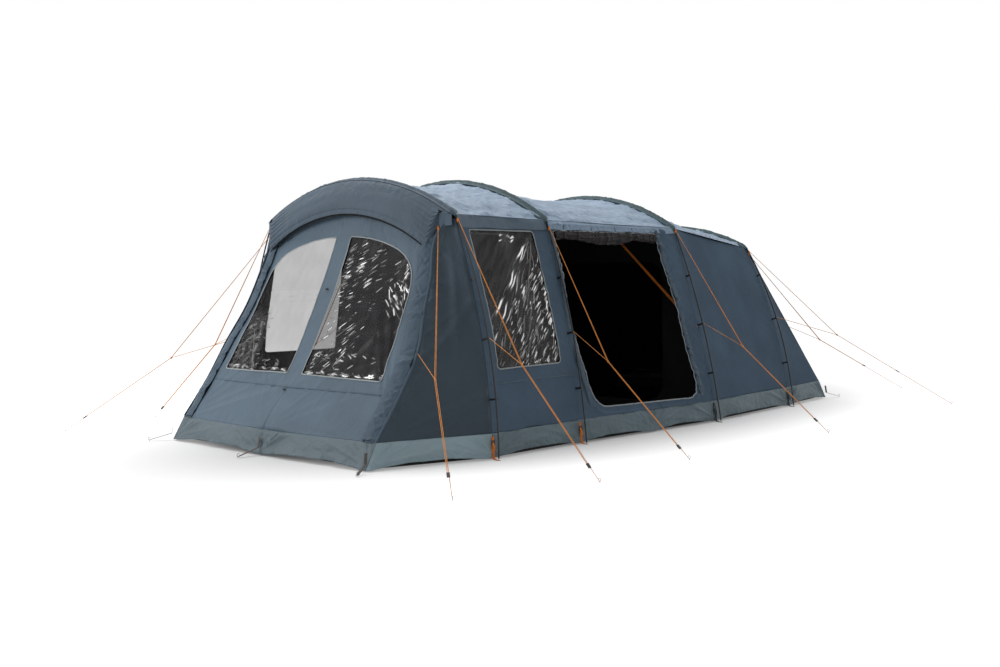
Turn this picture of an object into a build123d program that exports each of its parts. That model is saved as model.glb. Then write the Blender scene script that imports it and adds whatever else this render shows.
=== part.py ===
from build123d import *
import os
from collections import namedtuple
from math import atan2, cos, degrees, hypot, pi, sin, sqrt

# A four-hoop tunnel tent with a leaning front, a rain hood, a side door and a sloping tail.
# Millimetres. +X is to the right seen from the front, -Y is the front, +Z is up.
# The origin is on the ground, in the middle of the groundsheet.

# ---------------------------------------------------------------- driving dimensions
PORCH_DEPTH = 914.0  # from the front hem to hoop 1
BAY_1 = 984.0  # hoop 1 to hoop 2
BAY_2 = 1738.0  # hoop 2 to hoop 3
BAY_3 = 1407.0  # hoop 3 to hoop 4
TAIL_DEPTH = 885.0  # hoop 4 to the rear hem
FRONT_HALF_WIDTH = 1136.0  # half the front hem
REAR_HALF_WIDTH = 1300.0  # half the rear hem

POLE_R = 6.0
FABRIC = 2.0  # cloth, as a plain closed solid
SEAM = 0.3  # clearance between cloth panels, and between any two pieces that touch
RUNNING = 0.35  # clearance round a piece that slides
LEG_GAP = 55.0  # the wall hangs this far inside the bare pole legs
SKIN_DROP = 16.0  # the roof cloth lies this far under the pole's centre line
ROOF_SAG = 0.045  # how far the roof's crown sags between two hoops, as a share of the bay's length

HEM_Z = 55.0  # lower edge of the hem band
BAND_TOP = 180.0  # upper edge of the hem band
TRAY_HEIGHT = 100.0  # turned-up edge of the groundsheet
TRAY_INSET = 15.0  # the groundsheet's foot inside the hem
TRAY_LEAN = 32.0  # how much further in its upper edge stands

SLEEVE_WIDTH = 90.0
SLEEVE_CREST = 26.0
SLEEVE_WALL = 3.0

WINDOW_SETBACK = 118.0  # side window's front edge behind hoop 1
WINDOW_END_GAP = 160.0  # side window's rear edge ahead of hoop 2
WINDOW_SILL = 612.0
WINDOW_HEAD = 1590.0
DOOR_SETBACK = 66.0  # side door's front edge behind hoop 2
DOOR_END_GAP = 300.0  # side door's rear edge ahead of hoop 3
DOOR_SPLAY = 100.0  # how much the door widens to the rear at its foot
DOOR_SILL = 225.0
DOOR_HEAD = 1602.0
DOOR_CORNER = 150.0
ROLL_R = 34.0  # the door cloth, rolled up

CORD_R = 2.2
TWIN_GAP = 8.0  # distance between the doubled strands above a runner
RUNNER_LENGTH = 36.0
KNOT_R = 7.0
WEBBING = 1.5
WEBBING_WIDTH = 25.0
STRAP_EASE = 0.8  # room for the wall's bow behind a straight strap
CLIP_HEIGHTS = (420.0, 835.0, 1250.0)
CLIP_LENGTH = 14.0
CLIP_WALL = 2.0
PIN_R = 2.6
PIN_LENGTH = 55.0
PIN_RING_R = 9.0
PIN_RING = 1.7
BRACE_FOOT_Z = 800.0  # where the inner brace straps meet the wall
PEG_R = 2.2
ZIP_RATIO = 0.9  # front zips, as a share of the panel's half width
ZIP_WIDTH = 6.0
ZIP_THICKNESS = 2.0
ZIP_STANDOFF = 2.7  # the zip's middle in front of the panel's face
SLIDER_LENGTH = 22.0
SLIDER_WALL = 2.0
INNER_SETBACK = 90.0  # inner tent behind hoop 3

LENGTH = PORCH_DEPTH + BAY_1 + BAY_2 + BAY_3 + TAIL_DEPTH
Y1 = PORCH_DEPTH - LENGTH / 2
Y2 = Y1 + BAY_1
Y3 = Y2 + BAY_2
Y4 = Y3 + BAY_3
FRONT_Y = -LENGTH / 2
REAR_Y = LENGTH / 2
RING_Z = 2 * SEAM + WEBBING  # the pin's ring lies on the foot strap
FOOT_Z = RING_Z + PIN_RING + 1.4  # pole ends stand just over the ring

HOOD_REACH = 140.0  # the rain hood's lower edge ahead of hoop 1
HOOD_CORNER = (962.0, 1611.0)  # x, z of the hood's pulled-out corner
HOOD_CORNER_REACH = 69.0  # how far that corner stands ahead of hoop 1
HOOD_CORNER_TOP = 1728.0  # where the corner's upright edge starts
HOOD_LOW = (900.0, 1468.0)  # x, z of each end of the hood's arched edge
HOOD_ARCH_Z = 1732.0  # middle of the hood's lower edge

TAIL_BOW = 35.0  # how far the tail's middle bows out
ROOF_CHORDS = 16  # straight steps that stand for a curve of pole or cloth
ELBOW_CHORDS = 3
WALL_CHORDS = 8
FACE_CHORDS = 10
CROWN_CHORDS = 8
SAG_CHORDS = 4

# Each hoop: place along the tent, half width on the ground, height, shoulder, outward bow of the legs,
# and how far from the shoulder the bend starts
Hoop = namedtuple("Hoop", "y half_width height shoulder_x shoulder_z bow elbow")
HOOPS = (
    Hoop(Y1, 1464.0, 2000.0, 1055.0, 1712.0, 104.0, 42.0),
    Hoop(Y2, 1449.0, 2031.0, 1053.0, 1695.0, 62.0, 42.0),
    Hoop(Y3, 1523.0, 1975.0, 1034.0, 1671.0, 54.0, 42.0),
    Hoop(Y4, 1432.0, 1730.0, 904.0, 1520.0, 96.0, 42.0),
)

# The front face, level by level: height, corner x, corner y and middle y ahead of hoop 1
FrontLevel = namedtuple("FrontLevel", "z corner_x corner_y middle_y")
FRONT_LEVELS = (
    FrontLevel(HEM_Z, FRONT_HALF_WIDTH, -PORCH_DEPTH, -PORCH_DEPTH - 12),
    FrontLevel(BAND_TOP, FRONT_HALF_WIDTH - 4, -815.0, -885.0),
    FrontLevel(480.0, 1127.0, -590.0, -655.0),
    FrontLevel(742.0, 1119.0, -427.0, -500.0),
    FrontLevel(1030.0, 1041.0, -280.0, -350.0),
    FrontLevel(1240.0, 1010.0, -190.0, -250.0),
    FrontLevel(1565.0, 972.0, -78.0, -116.0),
)


# ---------------------------------------------------------------- flat geometry
class Circle2:
    """A circle in a hoop's own plane, through three points (x, z)."""

    def __init__(self, a, b, c):
        (ax, az), (bx, bz), (cx, cz) = a, b, c
        d = 2 * (ax * (bz - cz) + bx * (cz - az) + cx * (az - bz))
        sa, sb, sc = ax * ax + az * az, bx * bx + bz * bz, cx * cx + cz * cz
        self.x = (sa * (bz - cz) + sb * (cz - az) + sc * (az - bz)) / d
        self.z = (sa * (cx - bx) + sb * (ax - cx) + sc * (bx - ax)) / d
        self.r = hypot(ax - self.x, az - self.z)

    def at_z(self, z, inset=0.0):
        return (self.x + sqrt((self.r - inset) ** 2 - (z - self.z) ** 2), z)

    def at_angle(self, angle, inset=0.0):
        """Point at an angle from +Z towards +X."""
        return (self.x + (self.r - inset) * sin(angle), self.z + (self.r - inset) * cos(angle))

    def angle_of(self, point):
        return atan2(point[0] - self.x, point[1] - self.z)

    def gap_to(self, point):
        return hypot(point[0] - self.x, point[1] - self.z) - self.r


def roof_circle(h):
    return Circle2((-h.shoulder_x, h.shoulder_z), (0, h.height), (h.shoulder_x, h.shoulder_z))


def leg_normal(h):
    length = hypot(h.half_width - h.shoulder_x, h.shoulder_z)
    return (h.shoulder_z / length, (h.half_width - h.shoulder_x) / length)


def leg_middle(h, offset):
    nx, nz = leg_normal(h)
    return ((h.shoulder_x + h.half_width) / 2 + nx * offset, h.shoulder_z / 2 + nz * offset)


def leg_circle(h):
    return Circle2((h.shoulder_x, h.shoulder_z), leg_middle(h, h.bow), (h.half_width, 0))


def skin_shoulder(h):
    roof = roof_circle(h)
    return roof.at_angle(roof.angle_of((h.shoulder_x, h.shoulder_z)), SKIN_DROP)


def wall_circle(h):
    """The outer face of the wall cloth in the hoop's plane."""
    return Circle2(skin_shoulder(h), leg_middle(h, h.bow - LEG_GAP), (h.half_width - LEG_GAP, HEM_Z))


def roof_stations(h):
    """Angles of the pole's straight steps over the roof. The sleeve and the roof cloth share them."""
    roof = roof_circle(h)
    end = roof.angle_of((h.shoulder_x, h.shoulder_z)) - h.elbow / roof.r
    return steps(-end, end, ROOF_CHORDS)


def clip_heights(h):
    return [min(z, 0.82 * h.shoulder_z) for z in CLIP_HEIGHTS]


def leg_line(h):
    """The right-hand pole from the end of the roof arc round the elbow to the foot, with a step at each clip."""
    roof, leg = roof_circle(h), leg_circle(h)
    upper = roof.at_angle(roof_stations(h)[-1])
    lower = leg.at_angle(leg.angle_of((h.shoulder_x, h.shoulder_z)) + h.elbow / leg.r)
    elbow = []
    for i in range(ELBOW_CHORDS):
        t = i / ELBOW_CHORDS
        weights = ((1 - t) ** 2, 2 * t * (1 - t), t * t)
        corners = (upper, (h.shoulder_x, h.shoulder_z), lower)
        elbow.append(tuple(sum(w * p[k] for w, p in zip(weights, corners)) for k in (0, 1)))
    clips = sorted(clip_heights(h), reverse=True) + [FOOT_Z]
    heights = [lower[1]]
    for z in clips:
        heights += [(heights[-1] + z) / 2, z]
    return elbow + [leg.at_z(z) for z in heights]


def pole_at(h, z, out=0.0):
    """A point beside the right-hand pole at a height, out from its middle, and the pole's lean in degrees."""
    line = leg_line(h)
    (x0, z0), (x1, z1) = [(a, b) for a, b in zip(line, line[1:]) if b[1] <= z <= a[1]][0]
    x = x0 + (x1 - x0) * (z0 - z) / (z0 - z1)
    lean = atan2(x1 - x0, z0 - z1)
    return (x + out * cos(lean), z + out * sin(lean)), degrees(lean)


# ---------------------------------------------------------------- thin panels
def quad(a, b, c, d):
    """Two flat triangles."""
    return [Face(Wire.make_polygon([a, b, c])), Face(Wire.make_polygon([a, c, d]))]


def panel(*rows):
    """Cloth through (outer row, inner row) pairs of points, as one thin closed solid of flat facets."""
    last_row, last_column = len(rows) - 1, len(rows[0][0]) - 1
    faces = []
    for side in (0, 1):
        for upper, lower in zip(rows, rows[1:]):
            for j in range(last_column):
                faces += quad(upper[side][j], upper[side][j + 1], lower[side][j + 1], lower[side][j])
    rim = [(0, j) for j in range(last_column)] + [(i, last_column) for i in range(last_row)]
    rim += [(last_row, j) for j in range(last_column, 0, -1)] + [(i, 0) for i in range(last_row, 0, -1)]
    for (i, j), (k, m) in zip(rim, rim[1:] + rim[:1]):
        faces += quad(rows[i][0][j], rows[k][0][m], rows[k][1][m], rows[i][1][j])
    return Solid(Shell(faces))


def closed_loft(*rings):
    """A solid of flat facets through closed rings of points, each ring flat."""
    faces = [Face(Wire.make_polygon(rings[0])), Face(Wire.make_polygon(rings[-1]))]
    for lower, upper in zip(rings, rings[1:]):
        for j in range(len(lower)):
            k = (j + 1) % len(lower)
            faces += quad(lower[j], lower[k], upper[k], upper[j])
    return Solid(Shell(faces))


def mirrored(shape):
    return mirror(shape, about=Plane.YZ)


def both_sides(shape):
    return [shape, mirrored(shape)]


def steps(first, last, count):
    return [first + (last - first) * i / count for i in range(count + 1)]


def roof_outline(h, y, lower=0.0, chords=None):
    roof = roof_circle(h)
    end = roof.angle_of((h.shoulder_x, h.shoulder_z))
    angles = steps(-end, end, chords) if chords else [-end] + roof_stations(h) + [end]
    drop = SKIN_DROP + lower
    return [[(x, y, z) for x, z in (roof.at_angle(t, inset) for t in angles)] for inset in (drop, drop + FABRIC)]


def wall_outline(h, y, top_z, foot_z, chords):
    wall = wall_circle(h)
    top, foot = wall.angle_of(wall.at_z(top_z)), wall.angle_of(wall.at_z(foot_z))
    return [[(x, y, z) for x, z in (wall.at_angle(t, inset) for t in steps(top, foot, chords))]
            for inset in (0, FABRIC)]


def wall_top_z(h):
    """The wall starts below the shoulder, clear of the roof's turned end."""
    return skin_shoulder(h)[1] - FABRIC


def bay_roof(front, rear):
    """Roof cloth between two hoops. Its crown sags between them, and its sides stay straight."""
    ends = roof_outline(front, front.y + SEAM / 2), roof_outline(rear, rear.y - SEAM / 2)
    sag = ROOF_SAG * (rear.y - front.y)
    rows = []
    for share in steps(0, 1, SAG_CHORDS):
        row = []
        for near, far in zip(*ends):
            points = []
            for i, (a, b) in enumerate(zip(near, far)):
                across = 2 * i / (len(near) - 1) - 1
                drop = sag * 4 * share * (1 - share) * (1 - across * across)
                x, y, z = [p + (q - p) * share for p, q in zip(a, b)]
                points.append((x, y, z - drop))
            row.append(points)
        rows.append(tuple(row))
    return panel(*rows)


def bay_wall(front, rear):
    foot = BAND_TOP + SEAM / 2
    return panel(wall_outline(front, front.y + SEAM / 2, wall_top_z(front), foot, WALL_CHORDS),
                 wall_outline(rear, rear.y - SEAM / 2, wall_top_z(rear), foot, WALL_CHORDS))


def bay_band(front, rear):
    top = BAND_TOP - SEAM / 2
    return panel(wall_outline(front, front.y + SEAM / 2, top, HEM_Z, 1),
                 wall_outline(rear, rear.y - SEAM / 2, top, HEM_Z, 1))


# ---------------------------------------------------------------- front and tail faces
CORNER_GAP = FABRIC + SEAM


def bowed_outline(half, corner_y, middle_y, z, thick):
    """A level outline from corner to corner, bowed out in the middle."""
    return [[(half * t, middle_y + (corner_y - middle_y) * t * t + shift, z) for t in steps(-1, 1, FACE_CHORDS)]
            for shift in (0, thick)]


def front_outline(level, z=None):
    corner, middle = HOOPS[0].y + level.corner_y, HOOPS[0].y + level.middle_y
    return bowed_outline(level.corner_x - CORNER_GAP, corner, middle, level.z if z is None else z, FABRIC)


def side_row(hoop_point, corner, z, depth):
    """Two points at one height, on the hoop's wall and on a corner edge, set in by depth."""
    dx, dy = corner[0] - hoop_point[0], corner[1] - hoop_point[1]
    turn = (-1 if dy > 0 else 1) * depth / hypot(dx, dy)
    return [(x + turn * dy, y - turn * dx, z) for x, y in (hoop_point, corner)]


def wedge(places):
    """Cloth from a hoop's wall to a corner edge, through (hoop point, corner, height) places."""
    return panel(*[[side_row(*place, depth) for depth in (0, FABRIC)] for place in places])


def front_wedge(levels):
    h = HOOPS[0]
    wall = wall_circle(h)
    start = h.y - FABRIC - SEAM
    return wedge([((wall.at_z(v.z)[0], start), (v.corner_x, h.y + v.corner_y), v.z) for v in levels])


def tail_corner(z):
    """The tail's corner edge runs straight from hoop 4's shoulder to the rear hem."""
    h = HOOPS[3]
    sx, sz = skin_shoulder(h)
    share = (sz - z) / (sz - HEM_Z)
    return (sx + share * (REAR_HALF_WIDTH - sx), h.y + SEAM + share * (REAR_Y - h.y - SEAM))


def tail_outline(z):
    x, y = tail_corner(z)
    return bowed_outline(x - CORNER_GAP, y, y + TAIL_BOW, z, -FABRIC)


def tail_wedge(top_z, foot_z, count):
    h = HOOPS[3]
    wall = wall_circle(h)
    start = h.y + FABRIC / 2 + SEAM
    return wedge([((wall.at_z(z)[0], start), tail_corner(z), z) for z in steps(top_z, foot_z, count)])


# ---------------------------------------------------------------- poles and sleeves
def hoop_pole(h):
    """One bent hoop on a six-sided section: roof arc, two elbows and two bowed legs, with a bore for each pin."""
    roof, right = roof_circle(h), leg_line(h)
    crown = [roof.at_angle(t) for t in roof_stations(h)[1:-1]]
    line = Polyline(*[(-x, h.y, z) for x, z in reversed(right)], *[(x, h.y, z) for x, z in crown],
                    *[(x, h.y, z) for x, z in right])
    section = Plane(origin=line @ 0, z_dir=line % 0, x_dir=(0, 1, 0)) * RegularPolygon(POLE_R, 6)
    pole = sweep(section, path=line, transition=Transition.RIGHT)
    foot, lean = pole_at(h, FOOT_Z)
    bore = extrude(RegularPolygon(PIN_R + SEAM, 6), PIN_LENGTH + 2, both=True)
    bore = Pos(foot[0], h.y, foot[1]) * Rot(0, -lean, 0) * bore
    return pole - bore - mirrored(bore)


def roof_slopes(h):
    """How steeply the roof cloth climbs away from a hoop to its front and rear, or 0 where it falls."""
    roof, place = roof_circle(h), HOOPS.index(h)
    slopes = []
    for neighbour in (place - 1, place + 1):
        slope = 0.0
        if 0 <= neighbour < len(HOOPS):
            other = HOOPS[neighbour]
            crown = (0, other.height - SKIN_DROP)
            rise = max(roof.gap_to(crown), roof.gap_to(skin_shoulder(other))) + SKIN_DROP
            slope = max(0.0, rise / abs(other.y - h.y))
        slopes.append(slope)
    return slopes


def pole_sleeve(h):
    """The cloth sleeve that the roof arc runs through, sewn along the roof."""
    roof = roof_circle(h)
    low, high = roof.r - SKIN_DROP + 2 * SEAM, roof.r + POLE_R + SLEEVE_WALL
    half, crest, bore = SLEEVE_WIDTH / 2, SLEEVE_CREST / 2, POLE_R + SEAM
    lift_front, lift_rear = [half * slope for slope in roof_slopes(h)]
    outer = [(-half, low + lift_front), (half, low + lift_rear), (crest, high), (-crest, high)]
    inner = [(-bore, roof.r - bore), (bore, roof.r - bore), (bore, roof.r + bore), (-bore, roof.r + bore)]
    tubes = []
    for corners in (outer, inner):
        tubes.append(closed_loft(*[[(roof.x + r * sin(t), h.y + y, roof.z + r * cos(t)) for y, r in corners]
                                   for t in roof_stations(h)]))
    return tubes[0] - tubes[1]


def leg_clip(h, z):
    """A hook round the pole on a webbing tab that is sewn to the wall."""
    (px, pz), lean = pole_at(h, z)
    wall = wall_circle(h)
    reach = wall.gap_to((px, pz)) - 2 * SEAM
    outer = (POLE_R + RUNNING + CLIP_WALL) / cos(pi / 6)
    ring = RegularPolygon(outer, 6) - RegularPolygon((POLE_R + RUNNING) / cos(pi / 6), 6)
    hook = extrude(ring & Pos(-outer / 2) * Rectangle(2 * outer, 3 * outer), CLIP_LENGTH / 2, both=True)
    start = POLE_R + RUNNING + 0.3 * CLIP_WALL
    tab = Pos(-start, 0, 0) * Box(reach - start, WEBBING, CLIP_LENGTH, align=(Align.MAX, Align.CENTER, Align.CENTER))
    return Pos(px, h.y, pz) * (Rot(0, -lean, 0) * (hook + tab))


def foot_pin(h):
    """A pin on a ring, on which the pole end stands."""
    foot, lean = pole_at(h, FOOT_Z)
    ring = Pos(0, 0, RING_Z) * extrude(RegularPolygon(PIN_RING_R, 8), PIN_RING)
    pin = Pos(0, 0, FOOT_Z) * Rot(0, -lean, 0) * extrude(RegularPolygon(PIN_R, 6), PIN_LENGTH)
    stub = Pos(0, 0, RING_Z + PIN_RING / 2) * extrude(RegularPolygon(PIN_R, 6), FOOT_Z - RING_Z)
    return Pos(foot[0], h.y, 0) * (ring + pin + stub)


def foot_strap(h):
    """Webbing from under the pin, in across the ground and up the hem band."""
    foot = pole_at(h, FOOT_Z)[0][0]
    wall = wall_circle(h)
    off = SEAM + WEBBING / 2 + STRAP_EASE
    low = SEAM + WEBBING / 2
    line = Polyline((foot + PIN_RING_R, h.y, low), (wall.at_z(HEM_Z)[0] + 12, h.y, low),
                    (wall.at_z(HEM_Z)[0] + off, h.y, HEM_Z), (wall.at_z(BAND_TOP - 20)[0] + off, h.y, BAND_TOP - 20))
    section = Plane(origin=line @ 0, z_dir=line % 0, x_dir=(0, 1, 0)) * Rectangle(WEBBING_WIDTH, WEBBING)
    return sweep(section, path=line, transition=Transition.RIGHT)


def foot_buckle(h):
    """A ladder-lock buckle on the rising part of the foot strap."""
    wall = wall_circle(h)
    z = (HEM_Z + BAND_TOP) / 2
    x = wall.at_z(z)[0] + 3 * SEAM + WEBBING + STRAP_EASE
    frame = Box(4, WEBBING_WIDTH + 9, 30, align=(Align.MIN, Align.CENTER, Align.CENTER))
    for shift in (-7.5, 7.5):
        frame -= Pos(0, 0, shift) * Box(20, WEBBING_WIDTH + 1, 6)
    lean = degrees(atan2(z - wall.z, wall.at_z(z)[0] - wall.x))
    return Pos(x, h.y, z) * (Rot(0, -lean, 0) * frame)


# ---------------------------------------------------------------- openings in the walls
def door_outline():
    front, rear = Y2 + DOOR_SETBACK, Y3 - DOOR_END_GAP
    return FilletPolyline((front, DOOR_HEAD), (rear, DOOR_HEAD), (rear + DOOR_SPLAY, DOOR_SILL),
                          (front + DOOR_SPLAY * 1.45, DOOR_SILL + 25), (front - 5, 0.55 * DOOR_HEAD),
                          radius=[12, 12, DOOR_CORNER, DOOR_CORNER, 300], close=True)


def window_outline(inset=0.0):
    front, rear = Y1 + WINDOW_SETBACK + inset, Y2 - WINDOW_END_GAP - inset
    return FilletPolyline((front - 10, WINDOW_HEAD - inset), (rear - 15, WINDOW_HEAD - inset),
                          (rear + 30, WINDOW_SILL + inset), (front, WINDOW_SILL + inset),
                          radius=25 - inset, close=True)


def through_wall(outline):
    """A prism along X through the right-hand wall, from an outline in (y, z)."""
    face = Plane(origin=(800, 0, 0), x_dir=(0, 1, 0), z_dir=(1, 0, 0)) * make_face(outline)
    return extrude(face, amount=900)


def front_window_outline(inset=0.0):
    """Half of the front glazing: straight inside and foot, arched outside, in (x, z)."""
    i = inset
    return [Line((85 + i, 560 + i), (912 - i, 548 + i)), Line((912 - i, 548 + i), (864 - i, 1080)),
            ThreePointArc((864 - i, 1080), (790 - i, 1335 - i), (560 - i / 2, 1480 - i)),
            ThreePointArc((560 - i / 2, 1480 - i), (330, 1540 - i), (85 + i, 1560 - i)),
            Line((85 + i, 1560 - i), (85 + i, 560 + i))]


def through_front(outline):
    face = Plane(origin=(0, FRONT_Y - 200, 0), x_dir=(1, 0, 0), z_dir=(0, -1, 0)) * make_face(outline)
    return extrude(face, amount=-(PORCH_DEPTH + 400))


# ---------------------------------------------------------------- soft pieces
def rain_hood():
    """From the sleeve's front edge over a fold to the arched lower edge, with a gusset back to the hoop at each end."""
    h = HOOPS[0]
    top_y, lower_y = h.y - SLEEVE_WIDTH / 2 - SEAM, h.y - HOOD_REACH
    arch = Circle2((-HOOD_LOW[0], HOOD_LOW[1]), (0, HOOD_ARCH_Z), HOOD_LOW)
    end = arch.angle_of(HOOD_LOW)
    corner_x, corner_z = HOOD_CORNER
    corner_y = h.y - HOOD_CORNER_REACH
    outer_top, inner_top = roof_outline(h, top_y, 0, FACE_CHORDS + 2)
    outer_low = [(x, lower_y, z) for x, z in (arch.at_angle(t) for t in steps(-end, end, FACE_CHORDS))]
    outer_low = [(-corner_x, corner_y, corner_z)] + outer_low + [(corner_x, corner_y, corner_z)]
    outer_fold = [(x, (top_y + lower_y) / 2 - 20, (z + v[2]) / 2 + 10) for (x, _, z), v in zip(outer_top, outer_low)]
    outer_fold[0], outer_fold[-1] = [(x, corner_y, HOOD_CORNER_TOP) for x in (-corner_x, corner_x)]
    inner_low = [(x, y + FABRIC, z) for x, y, z in outer_low]
    inner_fold = [(x * (1 - FABRIC / corner_x), y + FABRIC, z - 1) for x, y, z in outer_fold]
    rows = []
    for place, (outer, inner) in enumerate(((outer_top, inner_top), (outer_fold, inner_fold), (outer_low, inner_low))):
        x, _, z = outer_top[-1]
        gusset = (x + 3 + place, top_y, z - 6 - 20 * place)
        inset = (gusset[0] - FABRIC, gusset[1] - 0.5, gusset[2])
        rows.append(([(-gusset[0], *gusset[1:])] + outer + [gusset], [(-inset[0], *inset[1:])] + inner + [inset]))
    return panel(*rows[::-1])


def ground_outline(z, inset, lean):
    """The groundsheet's outline at one height, inside the hem all the way round."""
    side = [(FRONT_HALF_WIDTH - inset - lean / 2, FRONT_Y + inset + 2.2 * lean)]
    side += [(h.half_width - LEG_GAP - inset - lean, h.y) for h in HOOPS]
    side += [(REAR_HALF_WIDTH - inset - 1.5 * lean, REAR_Y - inset - 1.5 * lean)]
    return [(x, y, z) for x, y in side] + [(-x, y, z) for x, y in reversed(side)]


def groundsheet():
    outer = closed_loft(ground_outline(0, TRAY_INSET, 0), ground_outline(TRAY_HEIGHT, TRAY_INSET, TRAY_LEAN))
    inset = TRAY_INSET + FABRIC
    share = FABRIC / TRAY_HEIGHT
    inner = closed_loft(ground_outline(FABRIC, inset, share * TRAY_LEAN), ground_outline(TRAY_HEIGHT, inset, TRAY_LEAN))
    return outer - inner


def wall_x(y, z, inset=0.0):
    """Half width of the wall's outer face at a place along the tent and a height, less an inset."""
    front, rear = [(f, r) for f, r in zip(HOOPS, HOOPS[1:]) if f.y <= y <= r.y][0]
    share = (y - front.y) / (rear.y - front.y)
    return (1 - share) * wall_circle(front).at_z(z)[0] + share * wall_circle(rear).at_z(z)[0] - inset


def tray_tab(h):
    """A webbing tab from the groundsheet's turned-up edge to the hem band, beside a hoop."""
    z = 0.85 * TRAY_HEIGHT
    y = h.y + (12 if h is not HOOPS[-1] else -12)
    outer = wall_x(y, z, FABRIC + 3 * SEAM)
    lean = TRAY_LEAN * (z + WEBBING / 2) / TRAY_HEIGHT
    inner = wall_x(y, HEM_Z) - TRAY_INSET - lean + 3 * SEAM
    return Pos(inner, y, z) * Box(outer - inner, 12, WEBBING, align=(Align.MIN, Align.CENTER, Align.CENTER))


def rolled_door():
    """The side door's cloth, rolled up and held under the head of its opening."""
    z = DOOR_HEAD - 2 * SEAM - ROLL_R
    front, rear = Y2 + DOOR_SETBACK + 30, Y3 - DOOR_END_GAP - 20
    ends = []
    for y in (front, rear):
        ends.append(Vector(wall_x(y, z, 0.3 * ROLL_R), y, z))
    return bar(ends[0], ends[1], RegularPolygon(ROLL_R, 12))


def bar(start, end, section, x_dir=None):
    """A straight bar of one section from start to end."""
    start, end = Vector(start), Vector(end)
    plane = Plane(origin=start, x_dir=x_dir, z_dir=end - start)
    return extrude(plane * section, amount=(end - start).length)


def inner_outline(y, foot, shoulder, top, inset):
    """An arch of four edges across the tent: floor, two sides and a crown."""
    (fx, fz), (sx, sz) = foot, shoulder
    fx, fz, sx, sz, top = fx - inset, fz + inset, sx - inset, sz - inset / 2, top - inset
    crown = Circle2((-sx, sz), (0, top), (sx, sz))
    end = crown.angle_of((sx, sz))
    arc = [crown.at_angle(t) for t in steps(end, -end, CROWN_CHORDS)]
    return [(x, y, z) for x, z in [(-fx, fz), (fx, fz)] + arc]


def inner_tent():
    """The bedroom: a closed cloth room behind hoop 3 with a doorway in its front face."""
    floor = FABRIC + SEAM
    h3, h4 = HOOPS[2], HOOPS[3]
    side = 180.0
    stations = [
        (h3.y + INNER_SETBACK, (h3.half_width - LEG_GAP - side, floor), (h3.shoulder_x - 120, h3.shoulder_z - 190),
         h3.height - 230),
        (h4.y - 30, (h4.half_width - LEG_GAP - side, floor), (h4.shoulder_x - 120, h4.shoulder_z - 190),
         h4.height - 190),
        (h4.y + 0.62 * TAIL_DEPTH, (REAR_HALF_WIDTH - side - 20, floor), (REAR_HALF_WIDTH - 350, 0.3 * h4.shoulder_z),
         0.33 * h4.shoulder_z),
    ]
    outer = closed_loft(*[inner_outline(y, f, s, t, 0) for y, f, s, t in stations])
    first, last = stations[0][0] + FABRIC, stations[-1][0] - 2 * FABRIC
    ys = [first, stations[1][0], last]
    inner = closed_loft(*[inner_outline(y, f, s, t, FABRIC) for y, (_, f, s, t) in zip(ys, stations)])
    doorway = Plane(origin=(0, first + 50, 0), x_dir=(1, 0, 0), z_dir=(0, -1, 0)) * (
        Pos(0, 740) * RectangleRounded(1700, 1240, 180))
    return outer - inner - extrude(doorway, amount=120)


def brace_straps(h):
    """Two straps just ahead of a hoop, from under its crown down to each wall."""
    wall = wall_circle(h)
    y = h.y - WEBBING_WIDTH / 2 - SEAM
    ease = 4 * ROOF_SAG * WEBBING_WIDTH
    crown = (18.0, y, roof_circle(h).at_angle(0, SKIN_DROP + FABRIC)[1] - ease)
    foot = (wall.at_z(BRACE_FOOT_Z, FABRIC + 2.0)[0], y, BRACE_FOOT_Z)
    return both_sides(bar(crown, foot, Rectangle(WEBBING_WIDTH, WEBBING), x_dir=(0, 1, 0)))


# ---------------------------------------------------------------- front zips
def front_face_point(level, ratio, out):
    """A point on the front face's level line, at a share of its half width, stood off by out."""
    x = ratio * (level.corner_x - CORNER_GAP)
    corner, middle = HOOPS[0].y + level.corner_y, HOOPS[0].y + level.middle_y
    sag = corner - middle
    return Vector(x, middle + sag * ratio * ratio - out, level.z)


def zip_points():
    return [front_face_point(v, ZIP_RATIO, ZIP_STANDOFF) for v in FRONT_LEVELS[1:]]


def zip_track():
    line = Polyline(*zip_points())
    section = Plane(origin=line @ 0, z_dir=line % 0, x_dir=(1, 0, 0)) * Rectangle(ZIP_WIDTH, ZIP_THICKNESS)
    return sweep(section, path=line, transition=Transition.RIGHT)


def zip_slider():
    """A slider that rides the straight foot of the front zip, with its pull hanging from it."""
    low, high = zip_points()[:2]
    along = (high - low).normalized()
    place = Plane(origin=low + along * 40, x_dir=(1, 0, 0), z_dir=along)
    out = 1 if place.y_dir.Y < 0 else -1
    roof = ZIP_THICKNESS / 2 + RUNNING
    height = roof + ZIP_THICKNESS / 2 + SLIDER_WALL
    shell = Pos(0, out * (height - ZIP_THICKNESS) / 2, 0) * Box(ZIP_WIDTH + 5, height, SLIDER_LENGTH)
    channel = Pos(0, out * (roof - 5), 0) * Box(ZIP_WIDTH + 2 * RUNNING, 10, SLIDER_LENGTH)
    pull = Pos(0, out * (roof + SLIDER_WALL + 0.8), -14) * Box(6, 1.8, 34)
    return place * (shell - channel + pull)


# ---------------------------------------------------------------- guylines
# Each right-hand guyline: tie point, point where the branch is tied, junction, runner and peg.
# B to E are tied to the legs of hoops 1 to 4, A to the rain hood and F to the tail's corner edge.
def leg_tie(h, z, out):
    x, z = pole_at(h, z, out)[0]
    return (x, h.y, z)


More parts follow.
